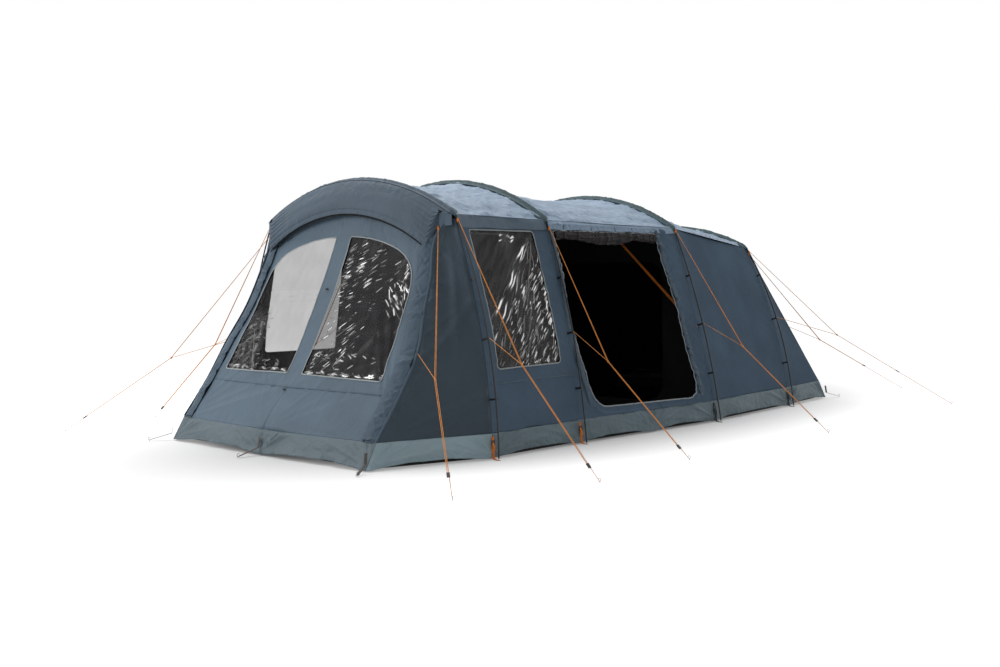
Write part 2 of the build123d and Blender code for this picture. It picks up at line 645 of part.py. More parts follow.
TIE_OUT = POLE_R + CORD_R - SEAM  # both are six-sided, so their flats still stand clear
BRANCH_OUT = POLE_R + RUNNING + CLIP_WALL + SEAM + CORD_R
Guy = namedtuple("Guy", "tie branch junction peg runner_share")
GUYS = {
    "a": Guy((HOOD_CORNER[0] + 2.2, Y1 - HOOD_CORNER_REACH - 2.2, HOOD_CORNER[1] - 1), (1120.7, Y1 - 428.0, 741.0),
             (1536.0, -2720.0, 607.0), (2250.0, -3290.0, 0.0), 0.80),
    "b": Guy(leg_tie(HOOPS[0], 1661.0, TIE_OUT), leg_tie(HOOPS[0], 835.0, BRANCH_OUT),
             (1766.0, -2146.0, 678.0), (2527.0, -2290.0, 0.0), 0.86),
    "c": Guy(leg_tie(HOOPS[1], 1622.0, TIE_OUT), leg_tie(HOOPS[1], 835.0, BRANCH_OUT),
             (1686.0, -1115.0, 634.0), (2454.0, -1203.0, 0.0), 0.87),
    "d": Guy(leg_tie(HOOPS[2], 1637.0, TIE_OUT), leg_tie(HOOPS[2], 835.0, BRANCH_OUT),
             (1744.0, 651.0, 654.0), (2544.0, 620.0, 0.0), 0.85),
    "e": Guy(leg_tie(HOOPS[3], 1462.0, TIE_OUT), leg_tie(HOOPS[3], 835.0, BRANCH_OUT),
             (1652.0, 2503.0, 666.0), (2494.0, 3201.0, 0.0), 0.52),
    "f": Guy(None, None, (1239.0, 2950.0, 585.0), (1487.0, 4361.0, 0.0), 0.51),
}


def tail_tie(z):
    """A point just outside the tail's corner edge."""
    x, y = tail_corner(z)
    return (x + 1.4, y + 2.4, z)


GUYS["f"] = GUYS["f"]._replace(tie=tail_tie(1440.0), branch=tail_tie(725.0))
PEG_END_Z = 8.0
PEG_LEAN = 6.0  # how far out the leaning shaft stands at the cord's height


class GuyFrame:
    """The straight run of a guyline from its junction to its peg."""

    def __init__(self, guy):
        self.top, self.foot = Vector(guy.junction), Vector(guy.peg)
        self.along = (self.foot - self.top).normalized()
        self.across = self.along.cross(Vector(0, 0, 1)).normalized()
        self.length = (self.foot - self.top).length
        self.runner = self.top + self.along * (guy.runner_share * self.length)

    def plane(self, origin):
        return Plane(origin=origin, x_dir=self.across, z_dir=self.along)


def strand(start, end, x_dir):
    return bar(start, end, RegularPolygon(CORD_R, 6), x_dir)


def guyline(guy):
    """A doubled strand from the tie to the runner, its branch, and a single strand on to the peg, as one solid."""
    frame = GuyFrame(guy)
    side = frame.across * (TWIN_GAP / 2)
    to_ground = PEG_END_Z / -frame.along.Z
    end = frame.foot - frame.along * to_ground - side
    line = strand(frame.top - side, end, frame.across)
    line += strand(frame.top + side, frame.runner + side + frame.along * 5, frame.across)
    line += strand(frame.top - side, guy.tie, frame.across)
    line += strand(frame.top + side, guy.tie, frame.across)
    line += strand(frame.top, guy.branch, frame.across)
    line += frame.plane(frame.top - frame.along * 9) * extrude(RegularPolygon(KNOT_R, 6), 18)
    return line


def runner(guy):
    """A slide on the guyline with a bore for each strand."""
    frame = GuyFrame(guy)
    body = extrude(Rectangle(TWIN_GAP + 12, 8), RUNNER_LENGTH / 2, both=True)
    for side in (-1, 1):
        body -= Pos(side * TWIN_GAP / 2, 0, -RUNNER_LENGTH) * extrude(
            RegularPolygon(CORD_R + RUNNING, 6), 2 * RUNNER_LENGTH)
    return frame.plane(frame.runner) * body


def wire_peg(foot, away, size=1.0):
    """What stands above the ground of a bent-wire peg: a leaning shaft and its hook."""
    away = Vector(away[0], away[1], 0).normalized()
    shape = [(-2.0, -6.0), (11.0, 19.0), (9.0, 28.0), (-3.0, 31.0), (-9.0, 26.0)]
    line = Polyline(*[Vector(*foot) + away * (u * size) + Vector(0, 0, v * size) for u, v in shape])
    section = Plane(origin=line @ 0, z_dir=line % 0, x_dir=away.cross(Vector(0, 0, 1))) * RegularPolygon(PEG_R, 6)
    peg = sweep(section, path=line, transition=Transition.RIGHT)
    return peg & (Pos(*foot) * Box(200, 200, 200, align=(Align.CENTER, Align.CENTER, Align.MIN)))


def guy_peg(guy):
    frame = GuyFrame(guy)
    foot = frame.foot - frame.across * (TWIN_GAP / 2)
    level = Vector(frame.along.X, frame.along.Y, 0)
    shift = -PEG_END_Z * level.length / -frame.along.Z + CORD_R * 0.7 + SEAM + PEG_R - PEG_LEAN
    return wire_peg(tuple(foot + level.normalized() * shift), (level.X, level.Y))


HEM_TIES = (  # hem point, peg foot
    ((0.0, FRONT_Y - 12.0, HEM_Z), (0.0, FRONT_Y - 190.0, 0.0)),
    ((FRONT_HALF_WIDTH, FRONT_Y, HEM_Z), (FRONT_HALF_WIDTH + 90.0, FRONT_Y - 150.0, 0.0)),
    ((REAR_HALF_WIDTH, REAR_Y, HEM_Z), (REAR_HALF_WIDTH + 62.0, REAR_Y + 160.0, 0.0)),
)


def hem_loop(hem, foot):
    """A webbing loop from the hem down to the peg's hook."""
    start, end = Vector(*hem), Vector(*foot)
    away = Vector(end.X - start.X, end.Y - start.Y, 0).normalized()
    start = start + away * 0.8
    end = end + away * 2.5 + Vector(0, 0, 9)
    return bar(start, end, Rectangle(15, WEBBING), away.cross(Vector(0, 0, 1)))


def hem_peg(hem, foot):
    return wire_peg(foot, (foot[0] - hem[0], foot[1] - hem[1]))


def left_too(pairs, make):
    out = []
    for hem, foot in pairs:
        solid = make(hem, foot)
        out.append(solid)
        if abs(hem[0]) > 1:
            out.append(mirrored(solid))
    return out


def roll_toggle(y):
    """A toggle bar that holds the rolled door."""
    z = DOOR_HEAD - SEAM - ROLL_R
    return Pos(wall_x(y, z) + 0.7 * ROLL_R + 5, y, z) * extrude(RegularPolygon(4.5, 6), 15, both=True)


# ---------------------------------------------------------------- build
PARTS = {}


def keep(name, solids):
    PARTS[name] = Compound(children=[s for s in solids]) if isinstance(solids, (list, tuple)) else solids


for i, hoop in enumerate(HOOPS, 1):
    keep(f"hoop_{i}", hoop_pole(hoop))
keep("pole_sleeves", [pole_sleeve(h) for h in HOOPS])
keep("leg_clips", [c for h in HOOPS for z in clip_heights(h) for c in both_sides(leg_clip(h, z))])
keep("foot_pins", [c for h in HOOPS for c in both_sides(foot_pin(h))])
keep("foot_buckles", [c for h in HOOPS for c in both_sides(foot_buckle(h))])

for i, (front, rear) in enumerate(zip(HOOPS, HOOPS[1:]), 1):
    keep(f"roof_{i}", bay_roof(front, rear))

wall_1, wall_2, wall_3 = [bay_wall(f, r) for f, r in zip(HOOPS, HOOPS[1:])]
side_window = through_wall(window_outline())
side_pane = wall_1 & through_wall(window_outline(SEAM))
keep("wall_1_right", wall_1 - side_window)
keep("wall_1_left", mirrored(wall_1 - side_window))
keep("side_window_panes", both_sides(side_pane))
keep("wall_2_right", wall_2 - through_wall(door_outline()))
keep("wall_2_left", mirrored(wall_2))
keep("wall_3_right", wall_3)
keep("wall_3_left", mirrored(wall_3))

face_levels = FRONT_LEVELS[1:]
front_face = panel(front_outline(face_levels[0], BAND_TOP + SEAM / 2), *[front_outline(v) for v in face_levels[1:]],
                   roof_outline(HOOPS[0], HOOPS[0].y - 20, SEAM, FACE_CHORDS))
front_windows = through_front(front_window_outline())
front_panes = front_face & through_front(front_window_outline(SEAM))
keep("front_panel", front_face - front_windows - mirrored(front_windows))
keep("front_window_panes", both_sides(front_panes))
keep("front_wedges", both_sides(front_wedge(
    (FRONT_LEVELS[1]._replace(z=BAND_TOP + SEAM / 2),) + FRONT_LEVELS[2:] + (FrontLevel(1670.0, 1030.0, -22.0, 0),))))

keep("rain_hood", rain_hood())

rear_face = panel(tail_outline(BAND_TOP + SEAM / 2), roof_outline(HOOPS[3], Y4 + 20, SEAM, FACE_CHORDS))
keep("rear_panel", rear_face)
keep("rear_wedges", both_sides(tail_wedge(HOOPS[3].shoulder_z - 60, BAND_TOP + SEAM / 2, 4)))

bands = [bay_band(f, r) for f, r in zip(HOOPS, HOOPS[1:])]
bands.append(front_wedge((FRONT_LEVELS[0], FRONT_LEVELS[1]._replace(z=BAND_TOP - SEAM / 2))))
bands.append(tail_wedge(BAND_TOP - SEAM / 2, HEM_Z, 1))
hem_band = [b for solid in bands for b in both_sides(solid)]
hem_band.append(panel(front_outline(FRONT_LEVELS[0]), front_outline(FRONT_LEVELS[1], BAND_TOP - SEAM / 2)))
hem_band.append(panel(tail_outline(HEM_Z), tail_outline(BAND_TOP - SEAM / 2)))
keep("hem_band", hem_band)

keep("groundsheet", groundsheet())
keep("rolled_door", rolled_door())
keep("roll_toggles", [roll_toggle(y) for y in (Y2 + 350, Y3 - 560)])
keep("inner_tent", inner_tent())
keep("brace_straps", brace_straps(HOOPS[2]))
keep("zip_tracks", both_sides(zip_track()))
keep("zip_slider_right", zip_slider())
keep("zip_slider_left", mirrored(zip_slider()))

for name, guy in GUYS.items():
    keep(f"guyline_{name}_right", guyline(guy))
    keep(f"guyline_{name}_left", mirrored(guyline(guy)))
    keep(f"runner_{name}_right", runner(guy))
    keep(f"runner_{name}_left", mirrored(runner(guy)))
keep("guy_pegs", [p for g in GUYS.values() for p in both_sides(guy_peg(g))])
webbing = [s for h in HOOPS for solid in (foot_strap(h), tray_tab(h)) for s in both_sides(solid)]
keep("webbing", webbing + left_too(HEM_TIES, hem_loop))
keep("hem_pegs", left_too(HEM_TIES, hem_peg))

os.makedirs("parts", exist_ok=True)
for name, solid in PARTS.items():
    export_step(solid, f"parts/{name}.step")
    print(name, round(solid.volume / 1000, 1), len(solid.solids()))
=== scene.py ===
# %% [markdown]
# # A tunnel tent, dressed for the studio
#
# The imported model holds the tent's frame and every piece of cloth as a plain, thin solid.
# Here each piece of cloth, film, cord and webbing is made again with the folds, puckers and
# finish that the real one has, in the same place and in metres. The poles are made again as
# round tubes; clips, pins, pegs and runners keep their own shapes and only get a finish.

# %% Load the imported model
from math import atan2, cos, hypot, pi, radians, sin, sqrt

import bpy
import numpy as np
from mathutils import Matrix, Vector


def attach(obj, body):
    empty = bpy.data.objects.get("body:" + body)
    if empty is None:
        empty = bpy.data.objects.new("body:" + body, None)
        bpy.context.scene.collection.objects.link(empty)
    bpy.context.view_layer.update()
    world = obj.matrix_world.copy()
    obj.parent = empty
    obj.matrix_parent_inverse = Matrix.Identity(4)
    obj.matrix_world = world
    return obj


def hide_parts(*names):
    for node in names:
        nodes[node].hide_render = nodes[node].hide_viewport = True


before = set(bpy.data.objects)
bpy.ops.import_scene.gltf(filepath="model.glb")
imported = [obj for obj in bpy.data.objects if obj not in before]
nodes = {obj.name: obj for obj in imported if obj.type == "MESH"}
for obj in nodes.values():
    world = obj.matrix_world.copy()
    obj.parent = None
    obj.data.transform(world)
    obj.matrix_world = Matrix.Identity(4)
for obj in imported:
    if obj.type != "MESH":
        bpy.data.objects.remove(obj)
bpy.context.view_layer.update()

# %% [markdown]
# ## Camera
#
# A tent this long looks right from a little over its own length away, at standing eye
# height. A modest focal length keeps the poles upright. The camera is turned by a matrix of
# its own right, up and back directions, which says exactly where it looks.

# %% Camera
SENSOR_WIDTH = 36.0  # millimetres
FOCAL_SHARE = 1.1848  # focal length over sensor width
CAMERA_PLACE = Vector((6.937, -7.962, 1.300))
HEADING, TILT, ROLL = -42.7, -3.05, -0.35  # degrees

camera_data = bpy.data.cameras.new("studio_camera")
camera_data.sensor_width = SENSOR_WIDTH
camera_data.lens = SENSOR_WIDTH * FOCAL_SHARE
camera_data.clip_end = 200.0
camera = bpy.data.objects.new("studio_camera", camera_data)
bpy.context.scene.collection.objects.link(camera)
bpy.context.scene.camera = camera


def camera_matrix(place, yaw, pitch, roll):
    """Right, up and back directions from the heading, the tilt and the roll, in degrees."""
    y, p, r = radians(yaw), radians(pitch), radians(roll)
    ahead = Vector((cos(p) * sin(y), cos(p) * cos(y), sin(p)))
    level = Vector((cos(y), -sin(y), 0))
    over = level.cross(ahead)
    right = level * cos(r) + over * sin(r)
    up = over * cos(r) - level * sin(r)
    turn = Matrix((right, up, -ahead)).transposed().to_4x4()
    return Matrix.Translation(place) @ turn


camera.matrix_world = camera_matrix(CAMERA_PLACE, HEADING, TILT, ROLL)
print(f"camera: {camera_data.lens:.1f} mm, {CAMERA_PLACE.length:.1f} m from the tent's middle")

# %% [markdown]
# ## Finishes
#
# Every finish is a small tree of shader nodes. Colours are written as the hex values a
# colour picker shows and are turned to linear light by one function, because shaders add
# and multiply light, not screen values. One other function adds a node with its settings
# and its links, so that a tree reads from top to bottom.

# %% Colour and node helpers
def linear(hex_colour):
    """sRGB hex to linear: c/12.92 near black, ((c + 0.055)/1.055)^2.4 above it."""
    srgb = np.array([int(hex_colour[i:i + 2], 16) for i in (1, 3, 5)]) / 255
    rgb = np.where(srgb <= 0.04045, srgb / 12.92, ((srgb + 0.055) / 1.055) ** 2.4)
    return (*map(float, rgb), 1.0)


def shade(hex_colour, share):
    """A colour made lighter or darker: each linear part times the share."""
    return (*(part * share for part in linear(hex_colour)[:3]), 1.0)


def fill(tree, node, inputs):
    """Set a node's inputs. Each is a value, or the socket that it is linked from."""
    for name, value in inputs.items():
        socket = node.inputs[name]
        if isinstance(value, bpy.types.NodeSocket):
            tree.links.new(value, socket)
        else:
            socket.default_value = value


def add(tree, kind, inputs=None, **settings):
    """Add a node with its inputs; a setting is a property such as the kind of sum."""
    node = tree.nodes.new(kind)
    for name, value in settings.items():
        setattr(node, name, value)
    fill(tree, node, inputs or {})
    return node


def two_tones(tree, amount, dark, light, first=0.0, last=1.0):
    """A ramp from one linear colour to another, as the amount goes from first to last."""
    ramp = add(tree, "ShaderNodeValToRGB", {"Fac": amount})
    low, high = ramp.color_ramp.elements
    low.position, high.position = first, last
    low.color, high.color = dark, light
    return ramp.outputs["Color"]


def new_finish(name):
    """An empty material with its tree and its shader."""
    finish = bpy.data.materials.new(name)
    finish.use_nodes = True
    tree = finish.node_tree
    tree.nodes.clear()
    shader = add(tree, "ShaderNodeBsdfPrincipled")
    add(tree, "ShaderNodeOutputMaterial", {"Surface": shader.outputs[0]})
    return finish, tree, shader


# %% [markdown]
# ## Tent cloth
#
# The cloth is woven polyester with a thin waterproof coat. Seen from a few steps away the
# yarns are far too fine to show, so what the eye reads is the coat: a soft, slightly silky
# light, a little change of tone from crease to crease, and a fine crackle where the cloth
# was folded in its bag. The weave itself, a fifth of a millimetre, is drawn as a 4 mm
# grain so that it shows at all. Patterns follow each piece's UV map, which is measured in
# metres along the cloth.

# %% Woven, coated polyester
def tent_cloth(name, colour, tone=0.10, crease=0.35, roughness=0.55, sheen=0.03, specular=0.22):
    """Broad patches of tone, and a bump of soft folds, cracks and grain, each on top of the last."""
    finish, tree, shader = new_finish(name)
    uv = add(tree, "ShaderNodeTexCoord").outputs["UV"]
    broad = add(tree, "ShaderNodeTexNoise", {"Vector": uv, "Scale": 2.3, "Detail": 4.0}).outputs["Fac"]
    folds = add(tree, "ShaderNodeTexNoise",
                {"Vector": uv, "Scale": 9.0, "Detail": 5.0, "Roughness": 0.55,
                 "Distortion": 0.8}).outputs["Fac"]
    cracks = add(tree, "ShaderNodeTexVoronoi", {"Vector": uv, "Scale": 26.0},
                 feature="DISTANCE_TO_EDGE").outputs["Distance"]
    grain = add(tree, "ShaderNodeTexNoise", {"Vector": uv, "Scale": 250.0, "Detail": 2.0}).outputs["Fac"]
    bump = add(tree, "ShaderNodeBump", {"Height": folds, "Strength": crease, "Distance": 0.02})
    for height, strength, distance in ((cracks, 0.25 * crease, 0.006), (grain, 0.10, 0.002)):
        bump = add(tree, "ShaderNodeBump", {"Height": height, "Strength": strength, "Distance": distance,
                                            "Normal": bump.outputs[0]})
    fill(tree, shader, {
        "Base Color": two_tones(tree, broad, shade(colour, 1 - tone), shade(colour, 1 + tone), 0.32, 0.68),
        "Normal": bump.outputs[0], "Roughness": roughness, "Specular IOR Level": specular,
        "Sheen Weight": sheen, "Sheen Roughness": 0.5})
    return finish


# the roof's colour is painted light: paler than the walls' cloth, for the strong light from above
roof_painted_light_finish = tent_cloth("roof_polyester_painted_light", "#90a8c1", crease=0.5, roughness=0.42, sheen=0.08, specular=0.35)
wall_finish = tent_cloth("wall_polyester", "#627689", crease=0.4, roughness=0.75, sheen=0.0, specular=0.04)
# the wedges' cloth is the walls' cloth painted darker: painted shade for the front wedges
wedge_painted_shade_finish = tent_cloth("wedge_polyester_painted_shade", "#46545f", crease=0.4)
front_finish = tent_cloth("front_polyester", "#607383", crease=0.4, specular=0.3)
hood_finish = tent_cloth("hood_polyester", "#506170", crease=0.5, specular=0.3)
sleeve_finish = tent_cloth("sleeve_polyester", "#4c6066", crease=0.6, roughness=0.6)
band_finish = tent_cloth("hem_band_polyester", "#768992", crease=0.6, roughness=0.5, specular=0.3)
front_band_finish = tent_cloth("front_band_polyester", "#66777f", crease=0.6, roughness=0.5, specular=0.4)
corner_band_finish = tent_cloth("corner_band_polyester", "#a6bec7", crease=0.6, roughness=0.5, specular=0.4)
mesh_finish = tent_cloth("rolled_mesh_and_polyester", "#211d1f", tone=0.4, crease=0.8, roughness=0.6)
lining_finish = tent_cloth("blackout_lining", "#0c0c0e", crease=0.3, roughness=0.8, sheen=0.0)
ground_finish = tent_cloth("groundsheet_polyethylene", "#141517", crease=0.5, roughness=0.5, sheen=0.0)

# %% [markdown]
# ## Window film
#
# The windows are clear PVC film, half a millimetre thick. It is folded with the tent, so it
# never lies flat again: sharp creases catch the light as white streaks, and the rest shows
# the dark inside. A Principled shader with a low alpha gives the clear part; on the
# right-hand panes it is near-black at an alpha of 0.60, painted shade for the dark inside
# behind them. Where it is creased the film turns milky, so each pane carries a value from 0
# to 1 at every point, and both colour and alpha rise with it, up to white painted highlights
# on the sharp creases, and a sharp crease also mirrors the sky.

# %% Creased PVC film
def window_film(name, least):
    """Colour, alpha and mirror follow the pane's own "creases" attribute: 0 is clear, 0.3 is a haze and 1
    is a white painted highlight on a crease. least is the alpha of the clear part, whose near-black is
    painted shade for the dark inside where least is high."""
    finish, tree, shader = new_finish(name)
    creases = add(tree, "ShaderNodeAttribute", attribute_name="creases").outputs["Fac"]
    ramp = add(tree, "ShaderNodeValToRGB", {"Fac": creases})
    stops = ramp.color_ramp.elements
    # the first stop's near-black is painted shade where the alpha is high; the last two are painted highlights on
    # creases
    for place, colour in ((0.0, "#17171b"), (0.3, "#3d3d40"), (0.6, "#9b9a98"), (1.0, "#f4f1ee")):
        stops.new(place).color = linear(colour)
    stops.remove(stops[0])
    stops.remove(stops[-1])
    # alpha rises to 0.97 where the painted highlights lie, so they hide what is behind
    milky = add(tree, "ShaderNodeMapRange", {"Value": creases, "From Max": 0.7, "To Min": least,
                                             "To Max": 0.97})
    mirror = add(tree, "ShaderNodeMapRange", {"Value": creases, "From Min": 0.40, "From Max": 0.80,
                                              "To Max": 0.9})
    fill(tree, shader, {"Base Color": ramp.outputs["Color"], "Alpha": milky.outputs[0],
                        "Metallic": mirror.outputs[0],
                        "Roughness": 0.22, "Specular IOR Level": 0.25, "IOR": 1.53})
    return finish


# the right-hand panes' film is 60 % near-black: painted shade for the dark inside behind it
pane_film_painted_dark = window_film("window_pvc", 0.60)
clear_film = window_film("clear_window_pvc", 0.27)

# %% [markdown]
# ## Cord, webbing, plastic and steel
#
# Guylines are braided polyester in a bright orange, so that nobody trips over them. The
# webbing is woven polypropylene, with ribs about 2 mm apart. Clips, buckles and toggles are
# moulded acetal with a soft gloss. The poles are glass fibre tubes, black and glossy. Pegs and
# pins are bent steel wire with a bright zinc coat.

# %% Small finishes
BRAID_PITCH = 0.004


def braided(name, colour):
    """Slanting waves of tone and bump, one for each turn of the braid."""
    finish, tree, shader = new_finish(name)
    place = add(tree, "ShaderNodeTexCoord").outputs["Object"]
    braid = add(tree, "ShaderNodeTexWave", {"Vector": place, "Scale": 1 / (20 * BRAID_PITCH),
                                            "Distortion": 1.5},
                bands_direction="DIAGONAL").outputs["Fac"]
    bump = add(tree, "ShaderNodeBump", {"Height": braid, "Strength": 0.5, "Distance": 0.001})
    fill(tree, shader, {"Base Color": two_tones(tree, braid, shade(colour, 0.85), linear(colour)),
                        "Normal": bump.outputs[0], "Roughness": 0.75})
    return finish


def moulded(name, colour, roughness, metallic=0.0, grain=0.15):
    """One colour, with fine spots that roughen it here and polish it there."""
    finish, tree, shader = new_finish(name)
    place = add(tree, "ShaderNodeTexCoord").outputs["Object"]
    spots = add(tree, "ShaderNodeTexNoise", {"Vector": place, "Scale": 400.0, "Detail": 3.0}).outputs["Fac"]
    bump = add(tree, "ShaderNodeBump", {"Height": spots, "Strength": grain, "Distance": 0.001})
    wear = add(tree, "ShaderNodeMapRange", {"Value": spots, "To Min": roughness - 0.06,
                                            "To Max": roughness + 0.08})
    fill(tree, shader, {"Base Color": linear(colour), "Normal": bump.outputs[0], "Roughness": wear.outputs[0],
                        "Metallic": metallic})
    return finish


orange_braid = braided("orange_guyline_braid", "#ffa856")
orange_webbing = braided("orange_polypropylene_webbing", "#ff8f30")
grey_webbing = braided("grey_polypropylene_webbing", "#5d5854")
black_webbing = braided("black_polypropylene_webbing", "#1b1c1e")
pole_finish = moulded("black_glass_fibre", "#0b0c0e", 0.30, grain=0.05)
clip_finish = moulded("black_acetal", "#111113", 0.42)
runner_finish = moulded("brown_black_acetal", "#2b1a14", 0.45)
steel_finish = moulded("zinc_coated_steel_wire", "#a9abae", 0.32, metallic=1.0, grain=0.05)
zip_finish = moulded("nylon_zip_coil", "#0f1214", 0.55, grain=0.6)
print(len(bpy.data.materials), "materials, the packed ones among them")

# %% [markdown]
# ## The shape that the cloth hangs on
#
# Each hoop is a roof arc on two bowed legs. The roof cloth lies just under the roof arc and
# the wall hangs on an arc of its own, a hand's breadth inside the leg. A circle through
# three points gives each arc, and a bay of cloth is a straight blend from one hoop to the
# next, pulled in a little at its middle, as stretched cloth is.

# %% Hoops and their arcs
class Arc:
    """The circle through three points: its centre is where two chords' bisectors meet."""

    def __init__(self, a, b, c):
        chords = 2 * np.array([np.subtract(b, a), np.subtract(c, a)], float)
        squares = [np.dot(b, b) - np.dot(a, a), np.dot(c, c) - np.dot(a, a)]
        self.x, self.z = np.linalg.solve(chords, squares)
        self.r = hypot(a[0] - self.x, a[1] - self.z)

    def angle(self, point):
        """A point's angle, from straight up towards +X."""
        return atan2(point[0] - self.x, point[1] - self.z)

    def at(self, angle, inset=0.0):
        """(x, z) at an angle, on a circle that is smaller by the inset."""
        return self.x + (self.r - inset) * np.sin(angle), self.z + (self.r - inset) * np.cos(angle)

    def x_at(self, z, inset=0.0):
        """x of the right half at a height, by Pythagoras."""
        return self.x + np.sqrt((self.r - inset) ** 2 - (z - self.z) ** 2)

    def z_at(self, x, inset=0.0):
        """Height of the upper half at an x, by Pythagoras."""
        return self.z + np.sqrt((self.r - inset) ** 2 - (x - self.x) ** 2)


HEM, BAND_TOP = 0.055, 0.180  # heights of the hem and of the band's upper edge
SKIN_DROP, LEG_GAP = 0.016, 0.055  # how far the roof lies under the pole, and the wall inside the leg
POLE_R, CORD_R = 0.006, 0.0022
FRONT_HALF, REAR_HALF = 1.136, 1.300  # half widths of the front and the rear hem
PANEL_GAP, TAIL_GAP = 0.0023, 0.0013  # cloth stops this far from the edge it is sewn to, and behind hoop 4
CLIP_HEIGHTS = (0.42, 0.835, 1.25)
SIDES = ((1, "right"), (-1, "left"))


class Hoop:
    """A hoop's place along the tent, its roof arc, its leg arc and the arc of the wall beside it."""

    def __init__(self, y, half_width, height, shoulder_x, shoulder_z, bow):
        self.y, self.half_width, self.height = y, half_width, height
        self.shoulder = (shoulder_x, shoulder_z)
        self.roof = Arc((-shoulder_x, shoulder_z), (0, height), (shoulder_x, shoulder_z))
        long = hypot(half_width - shoulder_x, shoulder_z)
        out = np.array([shoulder_z, half_width - shoulder_x]) / long
        middle = np.array([shoulder_x + half_width, shoulder_z]) / 2
        self.leg = Arc(self.shoulder, middle + out * bow, (half_width, 0))
        self.end = self.roof.angle(self.shoulder)
        self.skin_shoulder = self.roof.at(self.end, SKIN_DROP)
        self.wall = Arc(self.skin_shoulder, middle + out * (bow - LEG_GAP), (half_width - LEG_GAP, HEM))


hoops = [Hoop(-2.050, 1.464, 2.000, 1.055, 1.712, 0.104), Hoop(-1.066, 1.449, 2.031, 1.053, 1.695, 0.062),
         Hoop(0.672, 1.523, 1.975, 1.034, 1.671, 0.054), Hoop(2.079, 1.432, 1.730, 0.904, 1.520, 0.096)]
front_y, rear_y = -2.964, 2.964
print("hoops stand at", [h.y for h in hoops], "and are", [h.height for h in hoops], "high")

# %% [markdown]
# ## From numbers to cloth
#
# A piece of cloth is a grid of points. One function turns such a grid into a mesh with
# smooth faces, a UV map in metres and a thin wall, turned so that its outer side faces away
# from the tent's middle line. The cloth's outer side has the piece's own finish and its
# inner side has the dark lining.

# %% Points and lines
def down(rows, first=0.0):
    """A column of even steps from first to 1, for a grid's rows."""
    return np.linspace(first, 1, rows)[:, None]


def over(columns, first=0.0):
    """A row of even steps from first to 1, for a grid's columns."""
    return np.linspace(first, 1, columns)[None, :]


def xyz(x, y, z):
    """Points from three arrays of coordinates, spread to one shape."""
    return np.stack(np.broadcast_arrays(x, y, z), axis=-1)


def shut(points):
    """A grid with its first column once more at its end."""
    return np.concatenate([points, points[:, :1]], axis=1)


def distance_run(line):
    """Distance along a line from its first point to each of its points."""
    return np.concatenate([[0], np.cumsum(np.linalg.norm(np.diff(line, axis=0), axis=1))])


def sample(line, run, at):
    """A line's values at given distances, in proportion between its own points at the distances in run."""
    return np.stack([np.interp(at, run, line[:, k]) for k in range(line.shape[1])], axis=-1)


# %% Grids to meshes
def lengths(points, axis):
    """Distance run along a grid's rows or columns, averaged over the other direction."""
    step = np.linalg.norm(np.diff(points, axis=axis), axis=2).mean(axis=1 - axis)
    return np.concatenate([[0], np.cumsum(step)])


def grid_mesh(name, points, closed=False, uv=None):
    """Quads between a grid's neighbours; closed joins the last column to the first."""
    rows, columns = points.shape[:2]
    index = np.arange(rows * columns).reshape(rows, columns)
    right = np.roll(index, -1, axis=1)
    quads = np.stack([index[:-1], right[:-1], right[1:], index[1:]], axis=-1)
    quads = (quads if closed else quads[:, :-1]).reshape(-1, 4)
    if uv is None:
        v, u = np.meshgrid(lengths(points, 0), lengths(points, 1), indexing="ij")
        uv = np.stack([u, v], axis=-1)
    mesh = bpy.data.meshes.new(name)
    mesh.from_pydata(points.reshape(-1, 3).tolist(), [], quads.tolist())
    layer = mesh.uv_layers.new(name="cloth_metres")
    layer.data.foreach_set("uv", uv.reshape(-1, 2)[quads.ravel()].astype(np.float32).ravel())
    mesh.polygons.foreach_set("use_smooth", np.ones(len(quads), bool))
    return mesh


def faces_out(mesh, middle):
    """Turn the mesh over if its faces look, on the whole, towards the middle point."""
    normals, centres = np.zeros(len(mesh.polygons) * 3), np.zeros(len(mesh.polygons) * 3)
    mesh.polygons.foreach_get("normal", normals)
    mesh.polygons.foreach_get("center", centres)
    away = ((centres.reshape(-1, 3) - middle) * normals.reshape(-1, 3)).sum()
    if away < 0:
        mesh.flip_normals()


def piece(name, shape, finishes, replaces, body="tent"):
    """An object with its finishes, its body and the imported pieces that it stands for."""
    thing = bpy.data.objects.new(name, shape)
    bpy.context.scene.collection.objects.link(thing)
    for finish in finishes:
        shape.materials.append(finish)
    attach(thing, body)
    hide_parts(*replaces)
    return thing


def cloth(name, points, finish, replaces, slot="wall_cloth", closed=False, uv=None, middle=(0, 0, 0.5),
          thick=0.0012, held="stretched", lining=None, flat=None):
    """A grid of points with a thin wall. held is not used."""
    mesh = grid_mesh(name, points, closed, uv)
    faces_out(mesh, np.array(middle, float))
    sheet = piece(name, mesh, [finish, lining or lining_finish], replaces)
    wall = sheet.modifiers.new("cloth_wall", "SOLIDIFY")
    wall.thickness, wall.offset, wall.material_offset, wall.use_rim = thick, -1.0, 1, True
    if flat is None:
        flat = (lengths(points, 1)[-1], lengths(points, 0)[-1])


# %% [markdown]
# ## Folds, puckers and slack
#
# Cloth that is sewn to a tight seam puckers: short ridges stand on the seam and fade away
# from it. A pegged corner sends a fan of long tension folds into the panel. Between them
# the cloth has a slow slack. Each is a sum of smooth bumps whose places come from a seeded
# random generator, so that every run gives the same folds.

